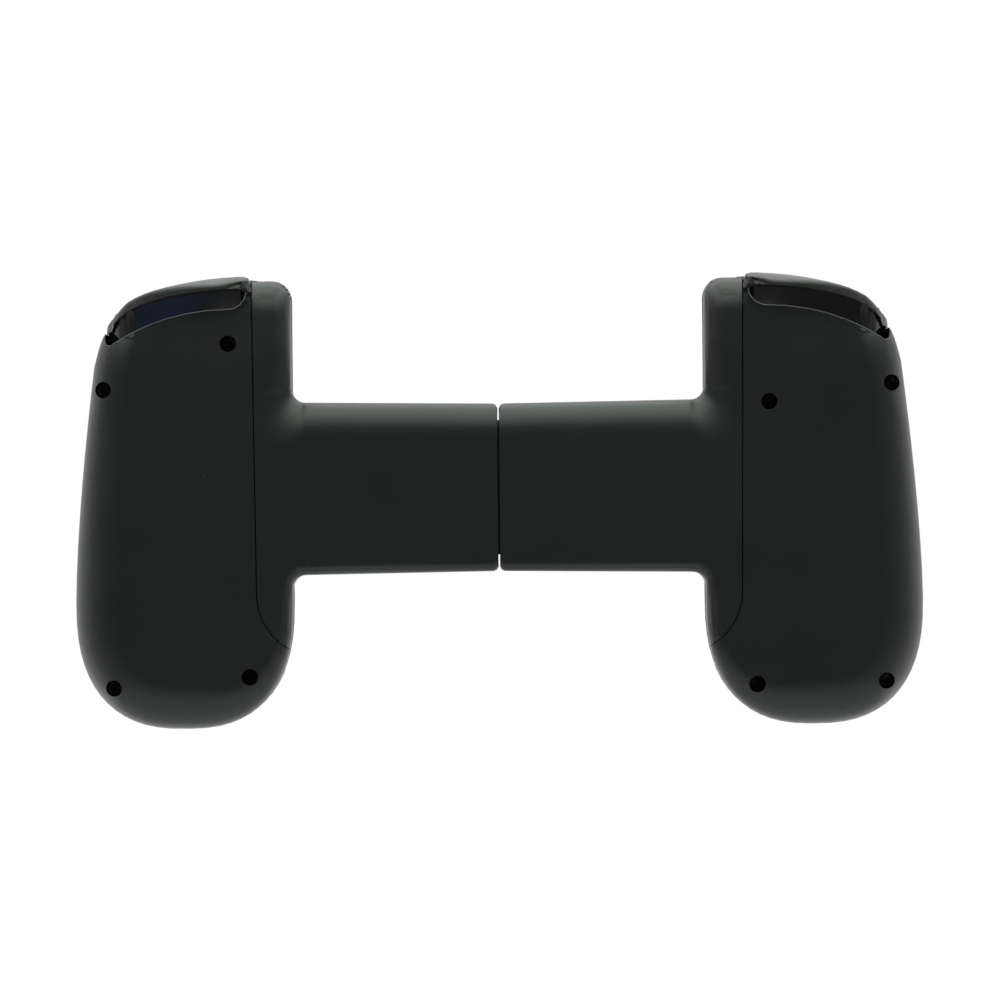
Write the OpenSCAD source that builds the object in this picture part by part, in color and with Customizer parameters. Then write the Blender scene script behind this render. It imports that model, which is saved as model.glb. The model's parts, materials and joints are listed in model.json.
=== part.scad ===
// Telescoping game controller for a phone: two grips joined by a sliding bridge.
// Millimetres, +Z up. The back faces -Y and the player's side faces +Y.
// The player's left grip is on the +X side, the right grip on the -X side.

/* [Overall] */
// half width of the bay between the grips with the bridge closed
bay_half = 42.7; // [41.5:0.1:44]
// width of a grip
grip_w = 45.3; // [44:0.1:47]
// height of the trigger tops above the middle
top_up = 47; // [45:0.5:49]
// depth of the grip ends below the middle
end_down = 47; // [45:0.5:49]

/* [Grips] */
// height of the rounded lower end
end_h = 26.2; // [25:0.2:27.5]
// fullness of the rounded end, 2 is an ellipse
end_power = 2.5; // [2.3:0.1:2.8]
// how far the outer side leans in towards the shoulder
side_lean = 5; // [4.5:0.1:5.5]
// depth of the outer shoulder below the trigger top
shoulder_drop = 13.3; // [13:0.1:13.6]
// rolled edge round the palm
palm_roll = 10; // [8:0.5:11]
// back of the bridge and of the grip beside it
back_y = -11.5; // [-12:0.1:-11.2]
// plane where the back and the face of a grip meet
parting_y = 2; // [1.6:0.1:2.4]
// player's face of the grip
face_y = 9.5; // [9.3:0.1:9.8]
// rolled edge round the face
face_roll = 2.5; // [1.5:0.1:3]
// wall of the covers
wall = 1.8; // [1.6:0.1:2]

/* [Bridge] */
// height of the bridge's middle above the grip ends
bridge_up = 49.65; // [49.4:0.05:49.9]
// half height of the bridge at the middle seam
bridge_half = 17.35; // [17.2:0.05:17.8]
// growth of the half height towards the grip
bridge_draft = 0.5; // [0:0.1:0.8]
// rolled upper edge
bridge_roll = 4; // [3:0.1:4.4]
// rolled lower edge
bridge_roll_low = 2.2; // [2:0.1:3]
// fillet between the bridge and the upright of the cover
bridge_fillet = 2.8; // [2:0.1:3.2]
// width of the upright, from the bay to the joint with the grip back
upright_w = 7.5; // [7.3:0.1:7.8]
// lean of that joint towards its upper end
seam_lean = 0.6; // [0.2:0.1:0.8]
// height above the grip ends where the joint starts to bend
seam_bend_up = 28; // [27.5:0.1:28.5]
// depth of the upright's top below the trigger top
upright_drop = 1.3; // [1:0.1:1.8]
// top corner of the upright
upright_corner = 3.8; // [3.8:0.1:4.4]

/* [Phone bay] */
// face that the phone's back rests on
rest_y = -1.5; // [-1.6:0.05:-1.4]
// thickness of the floor under the phone
floor_t = 2.5; // [2.3:0.1:2.6]
// underside of the front lip
lip_y = 7.5; // [7.3:0.1:7.6]
// depth of the end pocket
pocket_deep = 5.6; // [5.4:0.05:5.7]
// height of the pocket's lower end above the grip ends
pocket_up = 12.2; // [11.8:0.1:12.6]
// height of the plug above the bridge's middle
plug_up = 1.85; // [1:0.05:2.8]
// middle of the plug across the phone
plug_y = 2.7; // [2.4:0.1:3]

/* [Slide] */
// half length of the carriage inside the bridge
carriage_half = 57; // [55:0.5:57]
// half height of the carriage
carriage_h = 13.9; // [13.6:0.1:13.9]
// running clearance of the carriage
slide_gap = 0.3; // [0.25:0.05:0.4]
// module of the pinion and the racks
tooth_module = 0.8; // [0.78:0.01:0.82]
// rack length past the middle, more than half the travel
rack_reach = 43; // [42:0.5:45]
// radius of the pinion's pin
pinion_pin_r = 1.2; // [1:0.1:1.4]

/* [Triggers] */
// height of the rounded trigger top
trigger_h = 12; // [11.6:0.1:12.2]
// fullness of the trigger's curve, 2 is an ellipse
top_power = 2.1; // [2:0.05:2.2]
// reach of the trigger towards the back
trigger_reach = 18.6; // [18.2:0.1:18.8]
// fall of the trigger's top towards the back
trigger_slope = 1.6; // [1.2:0.1:1.8]
// depth of the lip's underside below the top
lip_t = 2.95; // [2.7:0.05:3.1]
// thickness of the lip at its outer end
lip_side = 1.2; // [1.1:0.05:1.5]
// depth of the hinge below the top
hinge_drop = 8.4; // [8.2:0.1:8.5]
// hinge depth
hinge_y = -0.9; // [-1:0.1:-0.8]
// radius of the hinge shaft
shaft_r = 1; // [0.9:0.05:1.1]

/* [Sticks] */
// radius of the thumb cap
cap_r = 7.8; // [7.2:0.1:8]
// top of the cap
cap_top = 17; // [16.8:0.1:17.2]
// thickness of the cap at its rim
cap_t = 2.8; // [2.5:0.1:2.9]
// radius of the hole in the face
stick_hole_r = 9.75; // [9.6:0.05:10]
// depth of the point the stick tilts about
pivot_y = -1.5; // [-1.6:0.05:-1.4]
// radius of the dome below the cap
dome_r = 12; // [11.5:0.1:12.2]
// radius of the gimbal's pins
gimbal_pin_r = 0.7; // [0.6:0.05:0.8]
// left stick, outwards from the middle of the grip
left_stick_out = 3.15; // [2.8:0.05:3.4]
// left stick, down from the trigger top
left_stick_drop = 23.8; // [23.4:0.1:24.2]
// right stick, outwards from the middle of the grip
right_stick_out = 1.95; // [1.6:0.05:2.2]
// right stick, up from the grip end
right_stick_up = 29.4; // [29:0.1:29.8]

/* [Buttons] */
// radius of a round face button
button_r = 4.1; // [3.8:0.1:4.3]
// distance of each face button from the middle of the four
button_ring = 8.8; // [8.5:0.1:9]
// travel of a face button
button_travel = 1; // [0.8:0.1:1.1]
// radius of a small button
key_r = 2.5; // [2.2:0.1:2.7]
// middle of the four face buttons, outwards from the middle of the grip
buttons_out = 3.05; // [2.8:0.05:3.3]
// middle of the four face buttons, down from the trigger top
buttons_drop = 30; // [29.5:0.1:30.5]
// middle of the cross pad, outwards from the middle of the grip
pad_out = 1.15; // [0.9:0.05:1.4]
// middle of the cross pad, up from the grip end
pad_up = 35; // [34.5:0.1:35.5]
// length of the cross pad from tip to tip
pad_span = 21; // [20:0.5:22]
// width of an arm of the cross pad
pad_arm = 7; // [6.5:0.1:7.4]
// gap between a button and its hole
button_gap = 0.35; // [0.3:0.05:0.4]

/* [Sockets and screws] */
// bore of the headphone socket
jack_r = 1.78; // [1.75:0.01:1.85]
// depth of the headphone socket
jack_depth = 14; // [13.5:0.5:15]
// middle of both sockets across the depth
socket_y = 4.6; // [4.5:0.05:4.7]
// radius of a screw well
well_r = 1.7; // [1.6:0.05:1.8]
// running clearance of small pins
pin_gap = 0.05; // [0.04:0.01:0.08]

/* [Hidden] */

half_w = bay_half + grip_w;
low_z = -end_down;
end_mid = (half_w + bay_half) / 2;
end_half = grip_w / 2;
end_z = low_z + end_h;
shoulder_z = top_up - shoulder_drop;
hinge_z = top_up - hinge_drop;
upright_z = top_up - upright_drop;
bridge_z = low_z + bridge_up;
seam_x = bay_half + upright_w;
seam_bend_z = low_z + seam_bend_up;
pocket_x = bay_half + pocket_deep;
pocket_z = low_z + pocket_up;
plug_z = bridge_z + plug_up;
top_mid = [seam_x + 0.8, top_up - trigger_h];
top_half = half_w - side_lean - 1.9 - top_mid[0];
grip_mid = [end_mid + 1.65, low_z + 34];
upright_mid = [(bay_half + seam_x) / 2, bridge_z];
seam_gap = 0.08;
seam_roll = 0.2;
tip_roll = 3.4;
join_gap = 0.05;
tray_back_y = rest_y - floor_t;
carriage_back_y = back_y + wall + slide_gap;
carriage_front_y = tray_back_y - slide_gap;
carriage_lid_y = carriage_front_y - 1;
channel_y = carriage_back_y + 1;
anchor_x = carriage_half + 0.6;
board_y = [0.3, 1.5];
pinion_teeth = 12;
pinion_r = tooth_module * pinion_teeth / 2;
boss_r = 2.6;
jack_half = 4;
left_wells = [
  [seam_x + 5.9, bridge_z + carriage_h + boss_r + 0.78], [half_w - 6.54, top_up - 23.4],
  [half_w - 8.07, low_z + 8.97], [seam_x + 2.91, low_z + 8.52]
];
right_wells = [
  [seam_x + 5.49, top_up - 14.23], [half_w - 6.36, top_up - 23.55],
  [half_w - 8.06, low_z + 8.7], [seam_x + 1.52, low_z + 10.84]
];
well_seat_y = -4.2;
boss_end_y = -3;
post_r = 1.7;
button_places = [[0, 1], [0, -1], [-1, 0], [1, 0]];
left_stick_at = [end_mid + left_stick_out, top_up - left_stick_drop];
right_stick_at = [end_mid + right_stick_out, low_z + right_stick_up];
buttons_at = [end_mid + buttons_out, top_up - buttons_drop];
pad_at = [end_mid + pad_out, low_z + pad_up];
options_at = [pocket_x + 7.2, top_up - 12];
capture_at = [end_mid - jack_half - key_r - 1.85, low_z + 16.5];
menu_at = [pocket_x + 6.7, top_up - 39];
home_at = capture_at;

// Basic moves: a flat outline in X and Z given depth along Y, and rods along each axis.
module slab(y0, y1) {
  rotate([90, 0, 0]) translate([0, 0, -y1]) linear_extrude(height = y1 - y0) children();
}
module rod_y(at, r, y0, y1) {
  slab(y0, y1) translate(at) circle(r = r, $fn = 32);
}
module rod_x(x0, x1, y, z, r) {
  translate([x0, y, z]) rotate([0, 90, 0]) cylinder(r = r, h = x1 - x0, $fn = 32);
}
module rod_z(x, y, z0, z1, r) {
  translate([x, y, z0]) cylinder(r = r, h = z1 - z0, $fn = 32);
}
module block(a, b) {
  translate(a) cube(b - a);
}
module on_right() {
  mirror([1, 0, 0]) children();
}

// Rounded curves: a full ellipse of a given power, with the direction into the material.
function full(c, a, b, n, t) = [
  c[0] + a * sign(cos(t)) * pow(abs(cos(t)), 2 / n),
  c[1] + b * sign(sin(t)) * pow(abs(sin(t)), 2 / n)
];
function unit(v) = v / norm(v);
function full_in(a, b, n, t) = unit([
  -sign(cos(t)) * pow(abs(cos(t)), 2 - 2 / n) / a,
  -sign(sin(t)) * pow(abs(sin(t)), 2 - 2 / n) / b
]);

// One point of an edge: place, direction into the material, roll radius, inner wall direction.
function spot(p, n, r, w) = [p[0], p[1], n[0], n[1], r, w[0], w[1]];
function lower_end(t, r, open) =
  let (p = full([end_mid, end_z], end_half, end_h, end_power, t))
  let (n = full_in(end_half, end_h, end_power, t))
  spot(p, n, r, open ? -n : n);
function outer_side(t, r) =
  let (rise = shoulder_z - end_z)
  let (p = [half_w - side_lean * pow(t, 1.5), end_z + t * rise])
  let (n = unit([-rise, -side_lean * 1.5 * pow(t, 0.5)]))
  spot(p, n, r, n);
function top_curve(t, inset, r) =
  let (p = full(top_mid, top_half - inset, trigger_h - inset, top_power, t))
  let (n = full_in(top_half, trigger_h, top_power, t))
  spot(p, n, r, n);
function bend_at(a, r) = [
  seam_x - seam_bend + r * cos(a),
  seam_bend_z + r * sin(a)
];

// The joint between the grip back and the bridge cover: it leans, bends and runs out at the edge.
seam_tip = full([end_mid, end_z], end_half, end_h, end_power, 197);
seam_in = seam_x - seam_tip[0];
seam_fall = seam_bend_z - seam_tip[1];
seam_bend = (seam_in * seam_in + seam_fall * seam_fall) / (2 * seam_in);
seam_turn = -asin(seam_fall / seam_bend);
seam_last = seam_turn + 2 * asin((tip_roll + 0.4) / 2 / seam_bend);
seam_run = unit(bend_at(seam_last, seam_bend) - bend_at(seam_turn, seam_bend));
seam_steps = 7;
function seam_at(z) = seam_x + seam_lean * (z - seam_bend_z) / (upright_z - seam_bend_z);
function seam_z(k) =
  let (first = upright_z - upright_corner - 0.5)
  first + (seam_bend_z + 9 - first) * k / 4;

// The rounded shoulder where the outer side ends below the trigger.
function shoulder(r) = [
  for (k = [[0.05, -2.5, 0.2], [0.6, -0.7, 0.25], [1.2, 0.8, 0.29], [1.8, 1.7, 0.32]])
    let (n = unit([-1, -k[2]]))
    spot([half_w - side_lean - k[0], shoulder_z + k[1]], n, r, n)
];

// The grip's edge, seen from the back: lower end, outer side, top, joint and bend.
function grip_edge() = concat(
  [spot(bend_at(seam_turn, seam_bend + seam_gap), seam_run, tip_roll, [0.5, 1.08])],
  [for (i = [0:26])
    let (t = 202 + 158 * i / 26)
    lower_end(t, min(palm_roll, 3.6 + (t - 197) * 0.09), false)],
  [for (i = [1:8]) outer_side(0.9 * i / 8, palm_roll - 2 * i / 8)],
  shoulder(palm_roll - 2.25),
  [for (i = [0:9]) top_curve(8 + 78 * i / 9, 0.6, 6 - 0.25 * i)],
  [spot([seam_at(upright_z) + seam_gap, upright_z], [0, -1], 3.7, [-1, -1])],
  [for (k = [0:4]) spot([seam_at(seam_z(k)) + seam_gap, seam_z(k)], [1, 0], seam_roll, [-1, 0])],
  [for (i = [0:seam_steps])
    let (a = seam_last * i / seam_steps)
    spot(bend_at(a, seam_bend + seam_gap), [cos(a), sin(a)], seam_roll, [-cos(a), -sin(a)])]
);

// The bridge cover's edge: half the bridge and the upright beside the grip.
bridge_low = bridge_z - bridge_half;
bridge_top = bridge_z + bridge_half;
root_x = bay_half - bridge_fillet;
function fillet_low(a) = [
  root_x + bridge_fillet * cos(a),
  bridge_low - bridge_draft - bridge_fillet + bridge_fillet * sin(a)
];
function fillet_top(a) = [
  root_x + bridge_fillet * cos(a),
  bridge_top + bridge_draft + bridge_fillet + bridge_fillet * sin(a)
];
function upright_bend(a) = [
  bay_half + upright_corner + upright_corner * cos(a),
  upright_z - upright_corner + upright_corner * sin(a)
];
function cover_edge() = concat(
  [spot([0.15, bridge_low + 1], [0, 1], bridge_roll_low, [-1, 1])],
  [spot([0.45, bridge_low + 0.3], [0, 1], bridge_roll_low, [-1, 1])],
  [spot([1.15, bridge_low], [0, 1], bridge_roll_low, [-1, 1])],
  [for (a = [90:-15:0])
    spot(fillet_low(a), [cos(a), sin(a)], 2.6, [cos(a), sin(a)])],
  [for (t = [180, 184, 188, 192]) lower_end(t, tip_roll, false)],
  [spot(bend_at(seam_turn, seam_bend - seam_gap), seam_run, tip_roll, [1.44, -0.68])],
  [for (i = [seam_steps:-1:0])
    let (a = seam_last * i / seam_steps)
    spot(bend_at(a, seam_bend - seam_gap), [-cos(a), -sin(a)], seam_roll, [cos(a), sin(a)])],
  [for (k = [4:-1:0]) spot([seam_at(seam_z(k)) - seam_gap, seam_z(k)], [-1, 0], seam_roll, [1, 0])],
  [spot([seam_at(upright_z) - seam_gap, upright_z], [0, -1], 3.7, [1, -1])],
  [for (a = [90:15:180])
    spot(upright_bend(a), [-cos(a), -sin(a)], 3.7, [-cos(a), -sin(a)])],
  [for (a = [0:-15:-90])
    spot(fillet_top(a), [cos(a), sin(a)], bridge_roll, [cos(a), sin(a)])],
  [spot([1.15, bridge_top], [0, -1], bridge_roll, [-1, -1])],
  [spot([0.45, bridge_top - 0.3], [0, -1], bridge_roll, [-1, -1])],
  [spot([0.15, bridge_top - 1], [0, -1], bridge_roll, [-1, -1])],
  [spot([0.15, bridge_top - 6], [1, 0], 0.3, [-1, 0])],
  [spot([0.15, bridge_low + 4], [1, 0], 0.3, [-1, 0])]
);

// The face's edge runs round the whole grip, lip included.
function face_edge() = concat(
  [for (a = [90:15:180])
    spot(upright_bend(a), [-cos(a), -sin(a)], face_roll, [cos(a), sin(a)])],
  [for (k = [1:4]) spot([bay_half, seam_z(k)], [1, 0], face_roll, [-1, 0])],
  [for (i = [0:30]) lower_end(180 + 6 * i, face_roll, i < 4)],
  [for (i = [1:8]) outer_side(0.9 * i / 8, face_roll)],
  shoulder(face_roll),
  [for (i = [0:9]) top_curve(8 + 78 * i / 9, 0.6, face_roll)]
);
function inner_edge(e, w) = [
  for (s = e) [s[0] + w * s[5], s[1] + w * s[6], s[2], s[3], max(s[4] - w, 0.25), 0, 0]
];

// A solid with a rolled edge: straight sides, then the roll up to a flat crown.
// The loft runs past both ends and a block trims it, so the crown is one plain face.
module rolled(edge, base, crown, mid, roll_steps) {
  way = crown > base ? 1 : -1;
  n = len(edge);
  foot = [for (s = edge) [s[0], s[1], base - way]];
  roll = [for (j = [0:roll_steps], s = edge)
    let (a = 90 * j / roll_steps, inset = s[4] * (1 - cos(a)))
    [s[0] + s[2] * inset, s[1] + s[3] * inset, crown + way * (0.05 - s[4] * (1 - sin(a)))]];
  points = concat(foot, roll, [[mid[0], mid[1], base - way], [mid[0], mid[1], crown + way]]);
  last = (roll_steps + 1) * n;
  under = last + n;
  top = under + 1;
  sides = [for (j = [0:roll_steps], i = [0:n - 1])
    let (a = j * n + i, b = j * n + (i + 1) % n)
    each [[a, a + n, b + n], [a, b + n, b]]];
  ends = [for (i = [0:n - 1])
    let (k = (i + 1) % n)
    each [[i, k, under], [last + i, top, last + k]]];
  faces = concat(sides, ends);
  rotate([90, 0, 0]) intersection() {
    polyhedron(points, way > 0 ? faces : [for (f = faces) [f[2], f[1], f[0]]]);
    translate([-half_w, low_z - 1, min(base, crown)])
      cube([2 * half_w, top_up + end_down + 2, abs(crown - base)]);
  }
}
module flat_edge(e) {
  polygon([for (s = e) [s[0], s[1]]]);
}

// The opening at the top of a grip for the trigger and the bumper.
notch_z = shoulder_z - 1;
above = top_up + 13;
sill_top = top_up - 7.1;
sill_in = seam_x + 4.8;
sill_out = half_w - 8.4;
sill_corner = [seam_x + 5.4, sill_top + 3.7];
function sill(u) = [
  sill_in + (sill_out - sill_in) * u,
  sill_top - (sill_top - notch_z - 0.1) * pow(u, 2.2)
];
module top_opening() {
  polygon(concat(
    [[seam_x + 1.3, above], [seam_x + 1.3, upright_z]],
    [for (a = [180, 205, 230, 252, 270]) sill_corner + 3.7 * [cos(a), sin(a)]],
    [for (u = [0.2, 0.38, 0.54, 0.68, 0.8, 0.9, 0.97]) sill(u)],
    [for (p = [[-7.9, -0.05], [-7.4, 0], [-7, 0.2], [-6.8, 0.7], [-6.7, 1.5], [-6.7, 2.4], [12, 2.4]])
      [half_w, notch_z] + p],
    [[half_w + 12, above]]
  ));
}

module grip_back(wells) {
  color([0.13, 0.14, 0.14]) difference() {
    union() {
      difference() {
        rolled(grip_edge(), -parting_y, -back_y, grip_mid, 6);
        rolled(inner_edge(grip_edge(), wall), -parting_y - 2, -back_y - wall, grip_mid, 4);
      }
      intersection() {
        rolled(inner_edge(grip_edge(), wall / 2), -parting_y, -back_y - wall / 2, grip_mid, 4);
        union() {
          for (p = wells) rod_y(p, boss_r, back_y - 1, boss_end_y);
          difference() {
            block([bay_half - 3, rest_y - wall, pocket_z - 2], [pocket_x - 0.1, rest_y, pocket_z + 9]);
            rod_y(bend_at(0, 0), seam_bend + seam_gap, -12, 4);
          }
        }
      }
    }
    for (p = wells) {
      rod_y(p, well_r, back_y - 1, well_seat_y);
      rod_y(p, 0.95, -20, 20);
      rod_y(p, post_r + 0.1, boss_end_y, 20);
    }
    slab(-30, 20) top_opening();
    block([bay_half - 3, rest_y, pocket_z], [pocket_x, 20, above]);
  }
}
module stadium(w, h) {
  union() {
    square([w - h, h], center = true);
    for (s = [-1, 1]) translate([s * (w - h) / 2, 0]) circle(d = h, $fn = 32);
  }
}
module left_grip_back() {
  grip_back(left_wells);
}
module right_grip_back() {
  on_right() grip_back(right_wells);
}

// The face of a grip: front panel, side walls, posts for the screws and the bumper's pivot.
bumper_at = [half_w - 9.6, top_up - 10.6];
collar_r = 2.4;
socket_gap = 0.1;
module face_blank(wells) {
  difference() {
    union() {
      difference() {
        rolled(face_edge(), -parting_y, -face_y, grip_mid, 3);
        rolled(inner_edge(face_edge(), wall), -parting_y + 2, -lip_y, grip_mid, 1);
        block([bay_half - 13, parting_y - 2, pocket_z], [pocket_x, lip_y, above]);
        slab(parting_y - 2, lip_y) top_opening();
      }
      for (p = wells) rod_y(p, post_r, boss_end_y + join_gap, lip_y + 0.2);
    }
    for (p = wells) rod_y(p, 0.85, -5, lip_y - 1.5);
  }
  rod_y(bumper_at, 0.75, bumper_back, lip_y + 0.2);
}
module cross_outline(span, arm) {
  union() {
    square([span, arm], center = true);
    square([arm, span], center = true);
  }
}
module key_hole(at) {
  rod_y(at, key_r + button_gap, lip_y - 1, face_y + 1);
}
module left_face() {
  color([0.14, 0.15, 0.15]) difference() {
    face_blank(left_wells);
    rod_y(left_stick_at, stick_hole_r, lip_y - 1, face_y + 1);
    slab(lip_y - 1, face_y + 1) translate(pad_at) cross_outline(pad_span + 1.5, pad_arm + 1.5);
    key_hole(options_at);
    key_hole(capture_at);
    rod_z(end_mid, socket_y, low_z - 13, low_z + 8, collar_r + socket_gap);
  }
}
module right_face() {
  color([0.14, 0.15, 0.15]) on_right() difference() {
    face_blank(right_wells);
    rod_y(right_stick_at, stick_hole_r, lip_y - 1, face_y + 1);
    for (b = button_places)
      rod_y(buttons_at + button_ring * b, button_r + button_gap, lip_y - 1, face_y + 1);
    key_hole(menu_at);
    key_hole(home_at);
    translate([end_mid, socket_y, low_z - 13]) linear_extrude(height = 20)
      stadium(charge_w + 2 * socket_gap, charge_h + 2 * socket_gap);
  }
}

// The back of the bridge with the upright that closes the inner side of the grip.
module bridge_cover() {
  color([0.13, 0.14, 0.14]) difference() {
    rolled(cover_edge(), -tray_back_y + join_gap, -back_y, upright_mid, 4);
    rolled(inner_edge(cover_edge(), wall), -tray_back_y - 2, -back_y - wall, upright_mid, 2);
  }
}
// The floor under the phone, with the end wall of the pocket and the anchor of the slide.
module bridge_tray() {
  color([0.12, 0.13, 0.13]) {
    slab(tray_back_y, rest_y) flat_edge(cover_edge());
    block([pocket_x, tray_back_y, pocket_z + 0.2], [pocket_x + 1.5, lip_y - 0.1, upright_z - 1.7]);
    block([seam_x - 1, tray_back_y, bridge_z - 13], [anchor_x + 2.4, rest_y - 0.4, bridge_z + 13]);
    block([anchor_x, channel_y, bridge_z - 13], [anchor_x + 2.4, tray_back_y + 1, bridge_z + 13]);
  }
}
module left_bridge_cover() {
  bridge_cover();
}
module right_bridge_cover() {
  on_right() bridge_cover();
}
module left_bridge_tray() {
  bridge_tray();
}
module right_bridge_tray() {
  on_right() bridge_tray();
}

// Soft pads that the ends of the phone press on.
pad_t = 1.3;
module phone_pad(window) {
  color([0.08, 0.08, 0.08]) translate([pocket_x - pad_t - join_gap, 0, 0]) rotate([90, 0, 90])
    linear_extrude(height = pad_t) difference() {
      translate([plug_y, plug_z]) square([7.4, 62], center = true);
      for (s = [-1, 1]) translate([plug_y, plug_z + s * 24]) square([2, 8], center = true);
      if (window) translate([plug_y, plug_z]) square([5.2, 11.6], center = true);
    }
}
module left_phone_pad() {
  phone_pad(false);
}
module right_phone_pad() {
  on_right() phone_pad(true);
}

module on_pocket(x0, x1) {
  translate([x0, plug_y, plug_z]) rotate([90, 0, 90]) linear_extrude(height = x1 - x0) children();
}
module upright_stadium(w, h) {
  rotate(90) stadium(w, h);
}
module phone_plug() {
  color([0.7, 0.7, 0.72]) on_right() {
    on_pocket(pocket_x - 1.1 - join_gap, pocket_x - join_gap) upright_stadium(10.6, 4.4);
    difference() {
      on_pocket(pocket_x - 7.9, pocket_x - 1) upright_stadium(8.25, 2.4);
      on_pocket(pocket_x - 8.5, pocket_x - 2.4) upright_stadium(7.6, 1.75);
    }
    on_pocket(pocket_x - 7.5, pocket_x - 2) square([0.7, 6.2], center = true);
  }
}
charge_w = 9;
charge_h = 3.2;
module charge_socket() {
  color([0.6, 0.6, 0.62]) on_right() translate([end_mid, socket_y, low_z]) {
    difference() {
      translate([0, 0, 0.7]) linear_extrude(height = 7.6) stadium(charge_w, charge_h);
      linear_extrude(height = 7.3) stadium(charge_w - 0.5, charge_h - 0.5);
    }
    translate([0, 0, 2.2]) linear_extrude(height = 5.5)
      square([6.6, 0.7], center = true);
  }
}
module headphone_socket() {
  color([0.1, 0.1, 0.1]) difference() {
    union() {
      rod_z(end_mid, socket_y, low_z + 0.6, low_z + 6, collar_r);
      block([end_mid - jack_half, socket_y - 2.8, low_z + 4.2],
            [end_mid + jack_half, socket_y + 2.8, low_z + 4 + jack_depth]);
    }
    rod_z(end_mid, socket_y, low_z, low_z + 0.6 + jack_depth, jack_r);
  }
}

// Screws that hold each grip back to its face, seen at the bottom of the wells.
module cover_screws(wells) {
  color([0.3, 0.3, 0.32]) for (p = wells) difference() {
    union() {
      rod_y(p, 1.4, well_seat_y - 1.4, well_seat_y - join_gap);
      rod_y(p, 0.8, well_seat_y - 0.2, 4);
    }
    slab(well_seat_y - 2, well_seat_y - 0.6) translate(p) cross_outline(1.8, 0.5);
  }
}
module left_cover_screws() {
  cover_screws(left_wells);
}
module right_cover_screws() {
  on_right() cover_screws(right_wells);
}

// Circuit boards behind the faces.
module board_outline(wells) {
  difference() {
    flat_edge(inner_edge(face_edge(), wall + 1.2));
    translate([0, low_z]) square([pocket_x + 3.3, top_up + end_down]);
    translate([0, top_up - 15.5]) square([2 * half_w, 20]);
    translate([0, low_z]) square([2 * half_w, 9]);
    for (p = wells) translate(p) circle(r = post_r + 0.5, $fn = 32);
  }
}
module board(wells, stick) {
  color([0.05, 0.2, 0.12]) slab(board_y[0], board_y[1]) difference() {
    board_outline(wells);
    translate(stick) square(12.4, center = true);
  }
}
module left_board() {
  board(left_wells, left_stick_at);
}
module right_board() {
  on_right() board(right_wells, right_stick_at);
}

// The slide: carriage with channels, its lid, the pinion and the rack of each half.
rack_band = [pinion_r - 1.2, pinion_r + 3.8];
rope_band = [9.5, 13];
module slide_carriage() {
  color([0.2, 0.2, 0.21]) translate([0, 0, bridge_z]) difference() {
    block([-carriage_half, carriage_back_y, -carriage_h],
          [carriage_half, carriage_lid_y - join_gap, carriage_h]);
    for (s = [-1, 1]) {
      for (band = [rack_band, rope_band])
        translate([0, 0, s * (band[0] + band[1]) / 2])
          block([-carriage_half - 1, channel_y, -(band[1] - band[0]) / 2],
                [carriage_half + 1, carriage_front_y, (band[1] - band[0]) / 2]);
    }
    rod_y([0, 0], pinion_r + 1.3, channel_y, carriage_front_y);
    rod_y([0, 0], pinion_pin_r + 0.01, carriage_back_y + 0.4, carriage_front_y);
  }
}
module carriage_lid() {
  color([0.18, 0.18, 0.19]) translate([0, 0, bridge_z]) difference() {
    block([-carriage_half, carriage_lid_y, -carriage_h], [carriage_half, carriage_front_y, carriage_h]);
    rod_y([0, 0], pinion_pin_r + 0.01, carriage_lid_y - 1, carriage_front_y + 1);
  }
}
module pinion_pin() {
  color([0.65, 0.65, 0.67]) translate([0, 0, bridge_z])
    rod_y([0, 0], pinion_pin_r, carriage_back_y + 0.4, carriage_front_y);
}
base_r = pinion_r * cos(20);
function rolled_off(r) = sqrt(pow(r / base_r, 2) - 1) * 180 / PI - acos(base_r / r);
function tooth_half(r) = 90 / pinion_teeth - 1.6 + rolled_off(pinion_r) - rolled_off(r);
function tooth_side(r, side, i) =
  let (a = 90 + 360 * i / pinion_teeth + side * tooth_half(max(r, base_r)))
  [r * cos(a), r * sin(a)];
tooth_radii = [pinion_r - 1, base_r, pinion_r, pinion_r + 0.4, pinion_r + 0.7];
module pinion_outline() {
  polygon([for (i = [0:pinion_teeth - 1])
    each concat([for (r = tooth_radii) tooth_side(r, -1, i)],
                [for (k = [4:-1:0]) tooth_side(tooth_radii[k], 1, i)])]);
}
module sync_pinion() {
  color([0.8, 0.78, 0.7]) translate([0, 0, bridge_z])
    slab(channel_y + 0.25, carriage_lid_y - 0.35) difference() {
      pinion_outline();
      circle(r = pinion_pin_r + pin_gap, $fn = 32);
    }
}
pitch = PI * tooth_module;
rack_teeth = floor((rack_reach - 2) / pitch);
rack_flank = pitch / 4 - 0.12;
module rack_outline() {
  polygon(concat(
    [[-rack_reach, pinion_r + 3.3], [-rack_reach, pinion_r + 0.95]],
    [for (i = [-rack_teeth:floor(anchor_x / pitch) - 2])
      let (x = (i + 0.5) * pitch)
      each [[x - rack_flank - 0.36, pinion_r + 0.95], [x - rack_flank + 0.19, pinion_r - 0.5],
            [x + rack_flank - 0.19, pinion_r - 0.5], [x + rack_flank + 0.36, pinion_r + 0.95]]],
    [[anchor_x - join_gap, pinion_r + 0.95], [anchor_x - join_gap, pinion_r + 3.3]]
  ));
}
module rack() {
  color([0.8, 0.78, 0.7]) slab(channel_y + 0.25, carriage_lid_y - 0.35) rack_outline();
}
module left_rack() {
  translate([0, 0, bridge_z]) rack();
}
module right_rack() {
  translate([0, 0, bridge_z]) rotate([0, 180, 0]) rack();
}

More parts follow.
